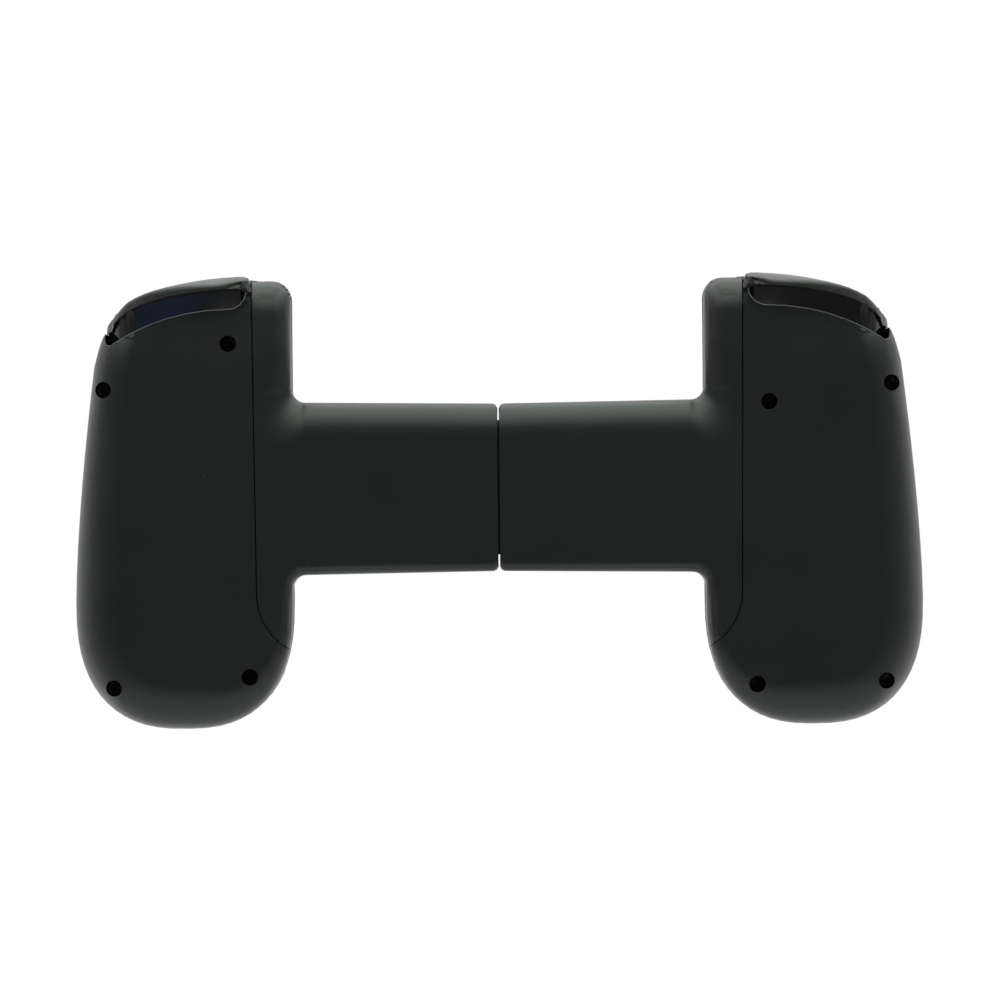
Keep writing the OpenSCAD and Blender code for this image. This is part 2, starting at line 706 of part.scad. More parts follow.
// A wound spring along +Z.
module coil(r, wire, rise, turns, per_turn, sides) {
  steps = turns * per_turn;
  points = [for (i = [0:steps], k = [0:sides - 1])
    let (a = 360 * i / per_turn, b = 360 * k / sides, d = r + wire * cos(b))
    [d * cos(a), d * sin(a), rise * i / steps + wire * sin(b)]];
  skin = [for (i = [0:steps - 1], k = [0:sides - 1])
    let (a = i * sides + k, b = i * sides + (k + 1) % sides)
    each [[a, a + sides, b + sides], [a, b + sides, b]]];
  polyhedron(points, concat(skin,
    [for (k = [1:sides - 2]) [0, k, k + 1]],
    [for (k = [1:sides - 2]) [steps * sides, steps * sides + k + 1, steps * sides + k]]));
}
spring_y = (channel_y + carriage_lid_y) / 2;
module closing_spring() {
  color([0.7, 0.7, 0.72])
    translate([-anchor_x + 0.35, spring_y, bridge_z + (rope_band[0] + rope_band[1]) / 2])
      rotate([0, 90, 0]) coil(1, 0.25, 2 * anchor_x - 0.7, 36, 6, 4);
}
// Flat cable between the boards, folded in the lower channel so that it can pay out.
module link_ribbon() {
  z0 = bridge_z - rope_band[1] + 0.5;
  color([0.5, 0.35, 0.1]) slab(spring_y - 1.1, spring_y + 1.1) union() {
    translate([-anchor_x + 0.1, z0]) square([anchor_x + 40, 0.25]);
    translate([39.85, z0]) square([0.25, 1.25]);
    translate([5, z0 + 1]) square([35.1, 0.25]);
    translate([5, z0 + 1]) square([0.25, 1.25]);
    translate([5, z0 + 2]) square([anchor_x - 5.1, 0.25]);
  }
}

// Triggers: a lip along the top curve, a skirt that runs down inside the grip, and two ears.
trigger_in = seam_x + 2.4;
lip_in = trigger_in - 1.5;
trigger_out = top_mid[0] + top_half - 0.1;
trigger_front = 1.6;
bumper_back = trigger_front + 0.8;
skirt_reach = trigger_front - back_y - wall - 0.9;
skirt_out = half_w - 7.6;
bracket_x = [end_mid - 6.75, end_mid + 7.05];
trigger_ears = [bracket_x[0] + 1.8, bracket_x[1] - 3.4];
edge_line = 0.35;
module under_top(from_x, side, top, floor_z) {
  intersection() {
    polygon(concat([[from_x, 0], [top_mid[0] + top_half - side, 0]],
      [for (i = [0:16])
        let (p = full(top_mid, top_half - side, trigger_h - top, top_power, 90 * i / 16))
        if (p[0] > from_x + 0.2) p],
      [[from_x, top_up - top]]));
    translate([from_x - 1, floor_z]) square([trigger_out - from_x + 1, above]);
  }
}
module lip_plan() {
  polygon(concat([[trigger_in, trigger_front], [trigger_in, back_y - 0.4]],
    [[lip_in, back_y - 1], [lip_in, trigger_front - trigger_reach + 2.2]],
    [[lip_in + 0.7, trigger_front - trigger_reach + 0.65]],
    [for (i = [0:14])
      full([seam_x + 5.6, trigger_front], trigger_out - seam_x - 5.6, trigger_reach, end_power, -90 + 6.2 * i)],
    [[trigger_out, trigger_front]]));
}
module skirt_plan(inset) {
  polygon(concat([[trigger_in + 0.5 + inset, trigger_front]],
    [[trigger_in + 0.5 + inset, trigger_front - skirt_reach + inset]],
    [for (i = [0:12])
      full([end_mid, trigger_front], skirt_out - inset - end_mid, skirt_reach - inset, 4.2, -90 + 7.5 * i)]));
}
module falling_back() {
  translate([0, trigger_front, top_up]) rotate([atan(trigger_slope / trigger_reach), 0, 0])
    translate([0, -trigger_front, -top_up]) children();
}
module along_z(z0, z1) {
  translate([0, 0, z0]) linear_extrude(height = z1 - z0) children();
}
module trigger() {
  color([0.09, 0.1, 0.12]) difference() {
    union() {
      intersection() {
        difference() {
          falling_back() slab(-30, 10) under_top(lip_in, 0, edge_line, shoulder_z - 10);
          slab(-30, 10) under_top(lip_in - 1, lip_side, lip_t, 0);
        }
        along_z(shoulder_z + 1.6, above) lip_plan();
      }
      intersection() {
        slab(-30, trigger_front - 0.8) difference() {
          under_top(trigger_in, lip_side - 0.3, lip_t - 0.3, shoulder_z - 2.5);
          translate([0, -1.5]) difference() {
            translate([0, -10]) square([half_w + 12, above]);
            top_opening();
          }
          polygon([for (p = [[-6.6, 2.1], [-12, -3.3], [0, -3.3], [0, 2.1]]) [half_w, shoulder_z] + p]);
        }
        along_z(0, above) difference() {
          skirt_plan(0);
          skirt_plan(1.5);
        }
      }
      intersection() {
        union() {
          for (x = trigger_ears) block([x, -12, hinge_z - 0.6], [x + 1.6, hinge_y, above]);
          for (x = trigger_ears) rod_x(x, x + 1.6, hinge_y, hinge_z, shaft_r + 0.9);
        }
        slab(-30, trigger_front) under_top(trigger_in, lip_side - 0.3, lip_t - 0.3, 0);
        along_z(0, above) skirt_plan(0.5);
      }
    }
    rod_x(bay_half, half_w, hinge_y, hinge_z, shaft_r + pin_gap);
  }
}
module trigger_bracket() {
  color([0.1, 0.1, 0.1]) difference() {
    union() {
      for (x = [bracket_x[0], bracket_x[1] - 1.4])
        block([x, hinge_y - 1.8, shoulder_z + 0.3], [x + 1.4, hinge_y + 2.2, hinge_z + 1.8]);
      block([bracket_x[0], hinge_y + 0.4, shoulder_z + 0.3],
            [bracket_x[1], hinge_y + 2.2, shoulder_z + 2.1]);
      block([bracket_x[0] + 1.4, hinge_y + 0.4, shoulder_z + 0.3],
            [bracket_x[1] - 1.4, lip_y - join_gap, shoulder_z + 2.1]);
    }
    rod_x(bay_half, half_w, hinge_y, hinge_z, shaft_r + 0.01);
  }
}
module trigger_shaft() {
  color([0.65, 0.65, 0.67]) rod_x(bracket_x[0], bracket_x[1], hinge_y, hinge_z, shaft_r);
}
module trigger_spring() {
  color([0.7, 0.7, 0.72]) translate([trigger_ears[0] + 2.6, hinge_y, hinge_z]) rotate([0, 90, 0])
    coil(shaft_r + 0.6, 0.25, 4.5, 6, 10, 5);
}
module left_trigger() {
  trigger();
}
module right_trigger() {
  on_right() trigger();
}
module left_trigger_bracket() {
  trigger_bracket();
}
module right_trigger_bracket() {
  on_right() trigger_bracket();
}
module left_trigger_shaft() {
  trigger_shaft();
}
module right_trigger_shaft() {
  on_right() trigger_shaft();
}
module left_trigger_spring() {
  trigger_spring();
}
module right_trigger_spring() {
  on_right() trigger_spring();
}

// Bumpers in front of the triggers, each turning on a post of the face.
module bumper() {
  color([0.1, 0.11, 0.12]) difference() {
    union() {
      slab(bumper_back, lip_y - 0.3) difference() {
        under_top(trigger_in, 0, 0, shoulder_z + 2.6);
        under_top(trigger_in - 1, 2.2, 2.6, 0);
      }
      slab(bumper_back, lip_y - 0.3) union() {
        translate(bumper_at) circle(r = 1.7, $fn = 32);
        translate(bumper_at - [1.2, 0]) square([2.4, 3]);
        translate([seam_x + 4.2, top_up - 5.4]) square([2, 4]);
      }
    }
    rod_y(bumper_at, 0.75 + pin_gap, 0, lip_y + 1);
  }
}
module left_bumper() {
  bumper();
}
module right_bumper() {
  on_right() bumper();
}

// Thumbsticks: housing on the board, a carrier that clicks in, a gimbal ring and the stick.
module stick_housing() {
  color([0.55, 0.56, 0.58]) difference() {
    union() {
      block([-7, -8.2, -7], [7, board_y[0] - join_gap, 7]);
    }
    block([-6, -7.2, -6], [6, 5, 6]);
  }
  color([0.55, 0.56, 0.58]) rod_y([0, 0], 2, -7.4, pivot_y - 4.7);
}
module stick_carrier(at_y) {
  color([0.2, 0.2, 0.22]) difference() {
    block([-5.8, at_y - 2.6, -5.8], [5.8, at_y + 1.5, 5.8]);
    block([-4.6, at_y - 4, -4.6], [4.6, at_y + 4, 4.6]);
    rod_x(-7, 7, at_y, 0, gimbal_pin_r + pin_gap);
  }
}
module gimbal_ring(at_y) {
  color([0.75, 0.74, 0.7]) difference() {
    union() {
      rod_y([0, 0], 4.2, at_y - 1, at_y + 1);
      rod_x(-5.7, 5.7, at_y, 0, gimbal_pin_r);
    }
    rod_y([0, 0], 3.1, at_y - 2, at_y + 2);
    rod_z(0, at_y, -6, 6, gimbal_pin_r + pin_gap);
  }
}
module gimbal_post(at_y, top_y, low_y, r) {
  rod_y([0, 0], r, low_y, top_y);
  rod_z(0, at_y, -4.1, 4.1, gimbal_pin_r);
}
cap_under = cap_top - cap_t;
module thumbstick() {
  color([0.08, 0.08, 0.08]) {
    gimbal_post(pivot_y, cap_under, pivot_y - 3.4, 1.9);
    rotate([-90, 0, 0]) rotate_extrude($fn = 48) polygon(concat(
      [[0, cap_under - 0.6], [3.4, cap_under - 0.6], [4.2, cap_under - 0.1], [cap_r - 0.8, cap_under]],
      [for (a = [-60, -30, 0, 30, 60, 90])
        [cap_r - 0.9 + 0.9 * cos(a), cap_top - 0.9 + 0.9 * sin(a) - (a < 0 ? 0.4 : 0)]],
      [[cap_r - 1.8, cap_top - 0.1], [cap_r - 2.8, cap_top - 0.8], [3, cap_top - 1.2], [0, cap_top - 1.3]]
    ));
    rotate([-90, 0, 0]) rotate_extrude($fn = 48) polygon(concat(
      [[0, cap_under - 0.5], [0, pivot_y + dome_r - 1.1], [1.5, pivot_y + dome_r - 1.1]],
      [for (a = [20, 28, 36, 43])
        [(dome_r - 1) * sin(a), pivot_y + (dome_r - 1) * cos(a)]],
      [for (a = [43, 38, 32, 26, 20])
        [dome_r * sin(a), pivot_y + dome_r * cos(a)]],
      [[3.4, pivot_y + dome_r + 0.2], [3.1, cap_under - 1.6], [3.4, cap_under - 0.5]]
    ));
  }
}
module at_place(p) {
  translate([p[0], 0, p[1]]) children();
}
module left_stick_housing() {
  at_place(left_stick_at) stick_housing();
}
module left_stick_carrier() {
  at_place(left_stick_at) stick_carrier(pivot_y);
}
module left_stick_gimbal() {
  at_place(left_stick_at) gimbal_ring(pivot_y);
}
module left_thumbstick() {
  at_place(left_stick_at) thumbstick();
}
module right_stick_housing() {
  on_right() at_place(right_stick_at) stick_housing();
}
module right_stick_carrier() {
  on_right() at_place(right_stick_at) stick_carrier(pivot_y);
}
module right_stick_gimbal() {
  on_right() at_place(right_stick_at) gimbal_ring(pivot_y);
}
module right_thumbstick() {
  on_right() at_place(right_stick_at) thumbstick();
}

// The cross pad rocks both ways on a gimbal of its own.
pad_pivot_y = 4.2;
pad_under = 6.7;
module dpad_cradle() {
  color([0.2, 0.2, 0.22]) at_place(pad_at) difference() {
    block([-5.8, board_y[1] + join_gap, -5.8], [5.8, pad_pivot_y + 1.2, 5.8]);
    block([-4.6, 0, -4.6], [4.6, 9, 4.6]);
    rod_x(-7, 7, pad_pivot_y, 0, gimbal_pin_r + pin_gap);
  }
}
module dpad_gimbal() {
  at_place(pad_at) gimbal_ring(pad_pivot_y);
}
module dpad() {
  color([0.09, 0.09, 0.1]) at_place(pad_at) {
    gimbal_post(pad_pivot_y, pad_under + 1, pad_pivot_y - 1.6, 2.2);
    difference() {
      slab(pad_under, face_y + 1.8) cross_outline(pad_span, pad_arm);
      rod_y([0, 0], 2.6, face_y + 1.3, face_y + 3);
    }
  }
}
module dpad_membrane() {
  color([0.6, 0.6, 0.62]) at_place(pad_at) {
    slab(board_y[1] + join_gap, board_y[1] + 0.8) difference() {
      square(23, center = true);
      square(12, center = true);
    }
    for (a = [0:90:270]) rod_y(8.6 * [cos(a), sin(a)], 1.9, board_y[1] + 0.5, pad_under - 1.35);
  }
}

// Round buttons: a domed cap, a flange under the face and a stem above its contact.
module round_button(r, top_y, flange) {
  rotate([-90, 0, 0]) rotate_extrude($fn = 40) polygon(concat(
    [[0, board_y[1] + 2.8], [r * 0.6, board_y[1] + 2.8], [r * 0.6, lip_y - 1.4],
     [r + flange, lip_y - 1.4], [r + flange, lip_y - 0.2], [r, lip_y - 0.2]],
    [for (a = [0, 30, 60, 90]) [r - 0.5 + 0.5 * cos(a), top_y - 0.8 + 0.5 * sin(a)]],
    [[r * 0.5, top_y - 0.08], [0, top_y]]
  ));
}
module face_button(i) {
  color([0.1, 0.1, 0.11]) on_right() at_place(buttons_at + button_ring * button_places[i])
    round_button(button_r, face_y + 2.2, 0.8);
}
module top_button() {
  face_button(0);
}
module bottom_button() {
  face_button(1);
}
module inner_button() {
  face_button(2);
}
module outer_button() {
  face_button(3);
}
module button_membrane() {
  color([0.6, 0.6, 0.62]) on_right() at_place(buttons_at) {
    slab(board_y[1] + join_gap, board_y[1] + 0.8) difference() {
      square(22.6, center = true);
      translate(right_wells[1] - buttons_at) circle(r = post_r + 0.5, $fn = 32);
    }
    for (b = button_places)
      rod_y(button_ring * b, 2.4, board_y[1] + 0.5, board_y[1] + 2.7 - button_travel);
  }
}
module key(at) {
  at_place(at) round_button(key_r, face_y + 0.9, 0.7);
}
module options_button() {
  color([0.1, 0.1, 0.11]) key(options_at);
}
module capture_button() {
  color([0.1, 0.1, 0.11]) key(capture_at);
}
module menu_button() {
  color([0.1, 0.1, 0.11]) on_right() key(menu_at);
}
module home_button() {
  color([0.1, 0.1, 0.11]) on_right() key(home_at);
}

left_grip_back();
left_face();
left_bridge_cover();
left_bridge_tray();
left_phone_pad();
left_board();
left_cover_screws();
left_rack();
left_trigger();
left_trigger_bracket();
left_trigger_shaft();
left_trigger_spring();
left_bumper();
left_stick_housing();
left_stick_carrier();
left_stick_gimbal();
left_thumbstick();
dpad_cradle();
dpad_gimbal();
dpad();
dpad_membrane();
options_button();
capture_button();
headphone_socket();
right_grip_back();
right_face();
right_bridge_cover();
right_bridge_tray();
right_phone_pad();
right_board();
right_cover_screws();
right_rack();
right_trigger();
right_trigger_bracket();
right_trigger_shaft();
right_trigger_spring();
right_bumper();
right_stick_housing();
right_stick_carrier();
right_stick_gimbal();
right_thumbstick();
top_button();
bottom_button();
inner_button();
outer_button();
button_membrane();
menu_button();
home_button();
phone_plug();
charge_socket();
slide_carriage();
carriage_lid();
sync_pinion();
pinion_pin();
closing_spring();
link_ribbon();
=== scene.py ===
import json
import math

import bpy
from mathutils import Euler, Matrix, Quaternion, Vector


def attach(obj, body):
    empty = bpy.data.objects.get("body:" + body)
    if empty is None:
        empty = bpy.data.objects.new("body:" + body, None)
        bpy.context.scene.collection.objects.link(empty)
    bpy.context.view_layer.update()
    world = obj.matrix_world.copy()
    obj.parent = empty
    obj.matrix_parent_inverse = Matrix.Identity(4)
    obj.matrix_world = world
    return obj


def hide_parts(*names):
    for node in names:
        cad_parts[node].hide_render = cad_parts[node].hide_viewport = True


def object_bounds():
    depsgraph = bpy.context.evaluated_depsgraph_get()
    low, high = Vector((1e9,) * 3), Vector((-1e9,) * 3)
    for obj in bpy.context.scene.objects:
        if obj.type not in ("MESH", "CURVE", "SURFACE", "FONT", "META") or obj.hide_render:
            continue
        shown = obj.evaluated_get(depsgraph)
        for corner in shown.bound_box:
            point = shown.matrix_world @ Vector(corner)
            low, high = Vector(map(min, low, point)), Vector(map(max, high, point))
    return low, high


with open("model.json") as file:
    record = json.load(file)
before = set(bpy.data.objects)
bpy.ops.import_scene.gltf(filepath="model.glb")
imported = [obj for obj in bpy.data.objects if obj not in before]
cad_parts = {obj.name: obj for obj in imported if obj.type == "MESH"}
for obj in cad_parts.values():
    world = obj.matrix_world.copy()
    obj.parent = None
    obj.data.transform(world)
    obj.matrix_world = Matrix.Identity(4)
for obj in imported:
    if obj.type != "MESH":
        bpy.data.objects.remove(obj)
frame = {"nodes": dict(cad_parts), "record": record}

solid_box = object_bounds()
MM = 0.001


class Value:
    """A shader socket that can stand in a sum."""

    def __init__(self, nodes, socket):
        self.nodes = nodes
        self.socket = socket

    def maths(self, operation, first, second=0.0):
        return self.nodes.node("ShaderNodeMath", {"operation": operation}, {0: first, 1: second})

    def __add__(self, other):
        return self.maths("ADD", self, other)

    __radd__ = __add__

    def __sub__(self, other):
        return self.maths("SUBTRACT", self, other)

    def __rsub__(self, other):
        return self.maths("SUBTRACT", other, self)

    def __mul__(self, other):
        return self.maths("MULTIPLY", self, other)

    __rmul__ = __mul__

    def __gt__(self, other):
        return self.maths("GREATER_THAN", self, other)

    def __abs__(self):
        return self.maths("ABSOLUTE", self)

    def ramp(self, low, high, to_low=0.0, to_high=1.0, kind="SMOOTHSTEP"):
        return self.nodes.node("ShaderNodeMapRange", {"interpolation_type": kind}, {
            "Value": self, "From Min": low, "From Max": high, "To Min": to_low, "To Max": to_high})


class Nodes:
    """A node tree, emptied, and the one way to add a node to it."""

    def __init__(self, tree):
        self.tree = tree
        tree.nodes.clear()

    def feed(self, socket, value):
        if isinstance(value, Value):
            self.tree.links.new(value.socket, socket)
        else:
            socket.default_value = value

    def node(self, kind, settings=None, inputs=None, output=0):
        made = self.tree.nodes.new(kind)
        for key, value in (settings or {}).items():
            setattr(made, key, value)
        for key, value in (inputs or {}).items():
            self.feed(made.inputs[key], value)
        return Value(self, made.outputs[output])


class Finish(Nodes):
    """One material: a Principled shader and the nodes that feed it."""

    def __init__(self, name, metallic=0.0, roughness=0.5, specular=0.5, coat=0.0):
        self.material = bpy.data.materials.new(name)
        self.material.use_nodes = True
        super().__init__(self.material.node_tree)
        output = self.tree.nodes.new("ShaderNodeOutputMaterial")
        self.shader = self.tree.nodes.new("ShaderNodeBsdfPrincipled")
        self.tree.links.new(self.shader.outputs[0], output.inputs[0])
        self.set("Metallic", metallic)
        self.set("Roughness", roughness)
        self.set("Specular IOR Level", specular)
        self.set("Coat Weight", coat)
        self.place = self.node("ShaderNodeTexCoord", output="Object")

    def set(self, socket, value):
        self.feed(self.shader.inputs[socket], value)

    def stretched(self, across):
        return self.node("ShaderNodeMapping", inputs={"Vector": self.place, "Scale": across})

    def noise(self, scale, detail=3.0, place=None):
        return self.node("ShaderNodeTexNoise", inputs={
            "Vector": place or self.place, "Scale": scale, "Detail": detail, "Roughness": 0.55})

    def cells(self, scale):
        return self.node("ShaderNodeTexVoronoi", inputs={"Vector": self.place, "Scale": scale})

    def bands(self, scale, way):
        return self.node("ShaderNodeTexWave", {"wave_type": "BANDS", "bands_direction": way}, {
            "Vector": self.place, "Scale": scale})

    def mix(self, share, first, second):
        return self.node("ShaderNodeMix", {"data_type": "RGBA"}, {0: share, 6: first, 7: second}, 2)

    def bump(self, height, depth, strength):
        """Raises the surface by a depth in millimetres."""
        self.set("Normal", self.node("ShaderNodeBump", inputs={
            "Strength": strength, "Distance": depth * MM, "Height": height}))


def rgb(red, green, blue):
    return (red, green, blue, 1.0)


# Finishes.
def moulded_shell():
    """Soft matte black of the grips and the bridge: fine grain, faint cloudiness, a few dust specks."""
    shell = Finish("moulded_shell")
    grain = shell.noise(5200, 2)
    cloud = shell.noise(55, 3)
    speck = (0.055 - shell.cells(260)).ramp(0.0, 0.03) * (shell.noise(140, 1) > 0.66)
    colour = shell.mix(cloud.ramp(0.3, 0.7), rgb(0.0030, 0.0044, 0.0046), rgb(0.0042, 0.0056, 0.0056))
    shell.set("Base Color", shell.mix(speck * 0.5, colour, rgb(0.10, 0.11, 0.10)))
    shell.set("Roughness", cloud.ramp(0.2, 0.8, 0.34, 0.38) + grain * 0.05)
    shell.bump(grain, depth=0.04, strength=0.3)
    return shell.material


def rim_painted_highlight():
    """Pale grey of the fine rim round a trigger's opening: a painted highlight along its edge, palest
    towards the middle, with darker worn patches.
    """
    rim = Finish("rim_painted_highlight", specular=0.4)
    worn = rim.noise(700, 3)
    across = rim.node("ShaderNodeSeparateXYZ", inputs={0: rim.place}, output="X")
    # Painted highlight: the rim is painted paler towards the middle of the controller.
    highlight_share = abs(across).ramp(60.0 * MM, 77.0 * MM, 1.0, 0.0)
    colour = rim.mix(highlight_share, rgb(0.112, 0.122, 0.125), rgb(0.34, 0.35, 0.35))
    rim.set("Base Color", rim.mix(worn * 0.3, colour, rgb(0.098, 0.104, 0.104)))
    rim.set("Roughness", worn * 0.08 + 0.34)
    rim.bump(worn, depth=0.01, strength=0.2)
    return rim.material


def trigger_gloss():
    """Polished blue-black of the trigger skirts and bumpers, with fine handling marks."""
    gloss = Finish("trigger_gloss", coat=0.35)
    smear = gloss.noise(90, 4)
    scuff = gloss.noise(900, 2, gloss.stretched((1.0, 0.15, 1.0)))
    colour = gloss.mix(smear.ramp(0.35, 0.7), rgb(0.0050, 0.0058, 0.0072), rgb(0.0068, 0.0076, 0.0090))
    gloss.set("Base Color", colour)
    gloss.set("Roughness", smear.ramp(0.2, 0.8, 0.03, 0.06) + scuff * 0.02)
    gloss.bump(scuff, depth=0.01, strength=0.04)
    return gloss.material


def trigger_satin():
    """Satin olive-black of the trigger lips, rubbed in patches."""
    satin = Finish("trigger_satin")
    rubbed = satin.noise(210, 4)
    grain = satin.noise(4200, 2)
    colour = satin.mix(rubbed.ramp(0.35, 0.7), rgb(0.0080, 0.0086, 0.0074), rgb(0.0125, 0.0130, 0.0112))
    satin.set("Base Color", colour)
    satin.set("Roughness", rubbed.ramp(0.2, 0.8, 0.34, 0.46) + grain * 0.04)
    satin.bump(grain, depth=0.03, strength=0.25)
    return satin.material


def tray_plastic():
    """Plain matte black of the pieces behind the covers."""
    tray = Finish("tray_plastic", specular=0.4)
    grain = tray.noise(3600, 2)
    cloud = tray.noise(70, 2)
    tray.set("Base Color", tray.mix(cloud, rgb(0.012, 0.013, 0.013), rgb(0.017, 0.018, 0.018)))
    tray.set("Roughness", grain * 0.15 + 0.5)
    tray.bump(grain, depth=0.05, strength=0.4)
    return tray.material


def soft_pad():
    """Soft rubber with fine ribs that grips the phone."""
    pad = Finish("soft_pad", specular=0.3)
    ribs = pad.bands(420, "Z")
    cloud = pad.noise(160, 3)
    pad.set("Base Color", pad.mix(cloud, rgb(0.010, 0.010, 0.010), rgb(0.020, 0.020, 0.020)))
    pad.set("Roughness", cloud * 0.2 + 0.65)
    pad.bump(ribs, depth=0.12, strength=0.6)
    return pad.material


def silicone_keypad():
    """Grey silicone of the contact sheets."""
    silicone = Finish("silicone_keypad", specular=0.35)
    cloud = silicone.noise(240, 3)
    silicone.set("Base Color", silicone.mix(cloud, rgb(0.36, 0.37, 0.38), rgb(0.48, 0.49, 0.50)))
    silicone.set("Roughness", cloud * 0.2 + 0.5)
    silicone.bump(silicone.noise(2400, 2), depth=0.05, strength=0.3)
    return silicone.material


def key_satin():
    """Satin black of the buttons and the cross pad."""
    keys = Finish("key_satin")
    cloud = keys.noise(120, 3)
    grain = keys.noise(4200, 2)
    keys.set("Base Color", keys.mix(cloud, rgb(0.0095, 0.0098, 0.0105), rgb(0.0140, 0.0144, 0.0150)))
    keys.set("Roughness", cloud.ramp(0.2, 0.8, 0.28, 0.38))
    keys.bump(grain, depth=0.03, strength=0.25)
    return keys.material


def stick_rubber():
    """Rubber of the thumb caps, dimpled for grip."""
    rubber = Finish("stick_rubber", specular=0.3)
    dimple = rubber.cells(1500).ramp(0.1, 0.6)
    cloud = rubber.noise(150, 3)
    rubber.set("Base Color", rubber.mix(cloud, rgb(0.0085, 0.0085, 0.0088), rgb(0.0150, 0.0150, 0.0152)))
    rubber.set("Roughness", cloud * 0.18 + 0.58)
    rubber.bump(dimple, depth=0.10, strength=0.55)
    return rubber.material


def board_mask():
    """Green solder mask with raised tracks and tinned pads."""
    board = Finish("board_mask")
    tracks = board.node("ShaderNodeTexBrick", {"offset": 0.37, "squash": 1.6}, {
        "Vector": board.place, "Scale": 160.0, "Mortar Size": 0.05,
        "Mortar Smooth": 0.2, "Bias": 0.0, "Brick Width": 0.8, "Row Height": 0.22}, "Fac")
    pads = 1 - board.cells(380).ramp(0.10, 0.16)
    colour = board.mix(tracks, rgb(0.010, 0.070, 0.032), rgb(0.018, 0.120, 0.055))
    board.set("Base Color", board.mix(pads, colour, rgb(0.60, 0.60, 0.58)))
    board.set("Roughness", 0.42 - pads * 0.15)
    board.set("Metallic", pads)
    board.bump(tracks, depth=0.04, strength=0.5)
    return board.material


def gear_resin():
    """Cream resin of the racks, the pinion and the gimbal rings."""
    resin = Finish("gear_resin")
    cloud = resin.noise(180, 4)
    resin.set("Base Color", resin.mix(cloud, rgb(0.56, 0.53, 0.44), rgb(0.68, 0.66, 0.57)))
    resin.set("Roughness", cloud * 0.2 + 0.3)
    resin.bump(resin.noise(2600, 2), depth=0.03, strength=0.25)
    return resin.material


def bright_steel():
    """Drawn steel of the pins, springs and socket shells."""
    steel = Finish("bright_steel", metallic=1.0)
    drawn = steel.noise(800, 4, steel.stretched((0.08, 1.0, 1.0)))
    cloud = steel.noise(130, 3)
    steel.set("Base Color", steel.mix(cloud, rgb(0.46, 0.47, 0.49), rgb(0.62, 0.63, 0.65)))
    steel.set("Roughness", drawn * 0.22 + 0.2)
    steel.bump(drawn, depth=0.02, strength=0.25)
    return steel.material


def blackened_screw():
    """Blackened steel of the cover screws, worn bright in patches."""
    screw = Finish("blackened_screw", metallic=1.0)
    worn = screw.noise(1400, 3).ramp(0.55, 0.75)
    screw.set("Base Color", screw.mix(worn, rgb(0.020, 0.020, 0.021), rgb(0.10, 0.10, 0.10)))
    screw.set("Roughness", 0.5 - worn * 0.15)
    screw.bump(screw.noise(3000, 2), depth=0.03, strength=0.3)
    return screw.material


def amber_ribbon():
    """Amber film with copper lines along the flat cable."""
    ribbon = Finish("amber_ribbon")
    lines = ribbon.bands(900, "Y").ramp(0.45, 0.6)
    ribbon.set("Base Color", ribbon.mix(lines, rgb(0.32, 0.17, 0.03), rgb(0.50, 0.22, 0.08)))
    ribbon.set("Roughness", ribbon.noise(300, 2) * 0.2 + 0.28)
    ribbon.set("Metallic", lines * 0.6)
    ribbon.bump(lines, depth=0.03, strength=0.4)
    return ribbon.material


FINISHES = {
    "shell": moulded_shell(),
    "trigger_gloss": trigger_gloss(),
    "tray": tray_plastic(),
    "soft_pad": soft_pad(),
    "keypad": silicone_keypad(),
    "keys": key_satin(),
    "stick_rubber": stick_rubber(),
    "board": board_mask(),
    "gear_resin": gear_resin(),
    "steel": bright_steel(),
    "ribbon": amber_ribbon(),
}
SCREW_FINISH = blackened_screw()
LIP_FINISH = trigger_satin()
# Painted highlight for the rim round each trigger's opening.
RIM_HIGHLIGHT_PAINT = rim_painted_highlight()
SLOT_OF = {s["node"]: s["material_slot"] for s in frame["record"]["subparts"]}
BODY_OF = {n: b for b, ns in frame["record"]["behaviour"]["bodies"].items() for n in ns}


# Ways to work a piece: angles in degrees, lengths in millimetres.
SHARP_EDGE = 38.0
SMOOTH_UNDER = 45.0
ROUNDING_STEPS = 3
WELD = 0.001
SLOPE_REACH = 0.05
CROWN_LOOKS = 0.8
BACKWARD = -1.0
FORWARD = 1.0
ACROSS = Vector((1.0, 0.0, 0.0))
DEEP = Vector((0.0, 1.0, 0.0))
UP = Vector((0.0, 0.0, 1.0))


def clamp(share):
    return min(1.0, max(0.0, share))


def fade(value, low, high):
    """A share that rises gently from 0 at low to 1 at high."""
    share = clamp((value - low) / (high - low))
    return share * share * (3.0 - 2.0 * share)


def steps(low, high, count):
    return [low + (high - low) * k / (count - 1) for k in range(count)]


def slopes(height, first, second):
    """How steeply a height over two directions rises along each."""
    span = 2.0 * SLOPE_REACH
    along_first = (height(first + SLOPE_REACH, second) - height(first - SLOPE_REACH, second)) / span
    along_second = (height(first, second + SLOPE_REACH) - height(first, second - SLOPE_REACH)) / span
    return along_first, along_second


def paint(piece, finish):
    piece.data.materials.clear()
    piece.data.materials.append(finish)


def only(piece):
    """Selects one piece and nothing else."""
    bpy.ops.object.select_all(action="DESELECT")
    piece.select_set(True)
    bpy.context.view_layer.objects.active = piece


def copy_of(node):
    """A welded copy of a solid, left in edit mode with nothing selected."""
    piece = bpy.data.objects.new(node + "_moulded", frame["nodes"][node].data.copy())
    bpy.context.scene.collection.objects.link(piece)
    only(piece)
    bpy.ops.object.mode_set(mode="EDIT")
    bpy.ops.mesh.select_all(action="SELECT")
    bpy.ops.mesh.remove_doubles(threshold=WELD * MM)
    bpy.ops.mesh.select_all(action="DESELECT")
    return piece


def slice_up(way, places):
    """Cuts the copy in hand across, so that its broad faces can bend."""
    for place in places:
        bpy.ops.mesh.select_all(action="SELECT")
        bpy.ops.mesh.bisect(plane_co=way * place * MM, plane_no=way)
    bpy.ops.mesh.select_all(action="DESELECT")


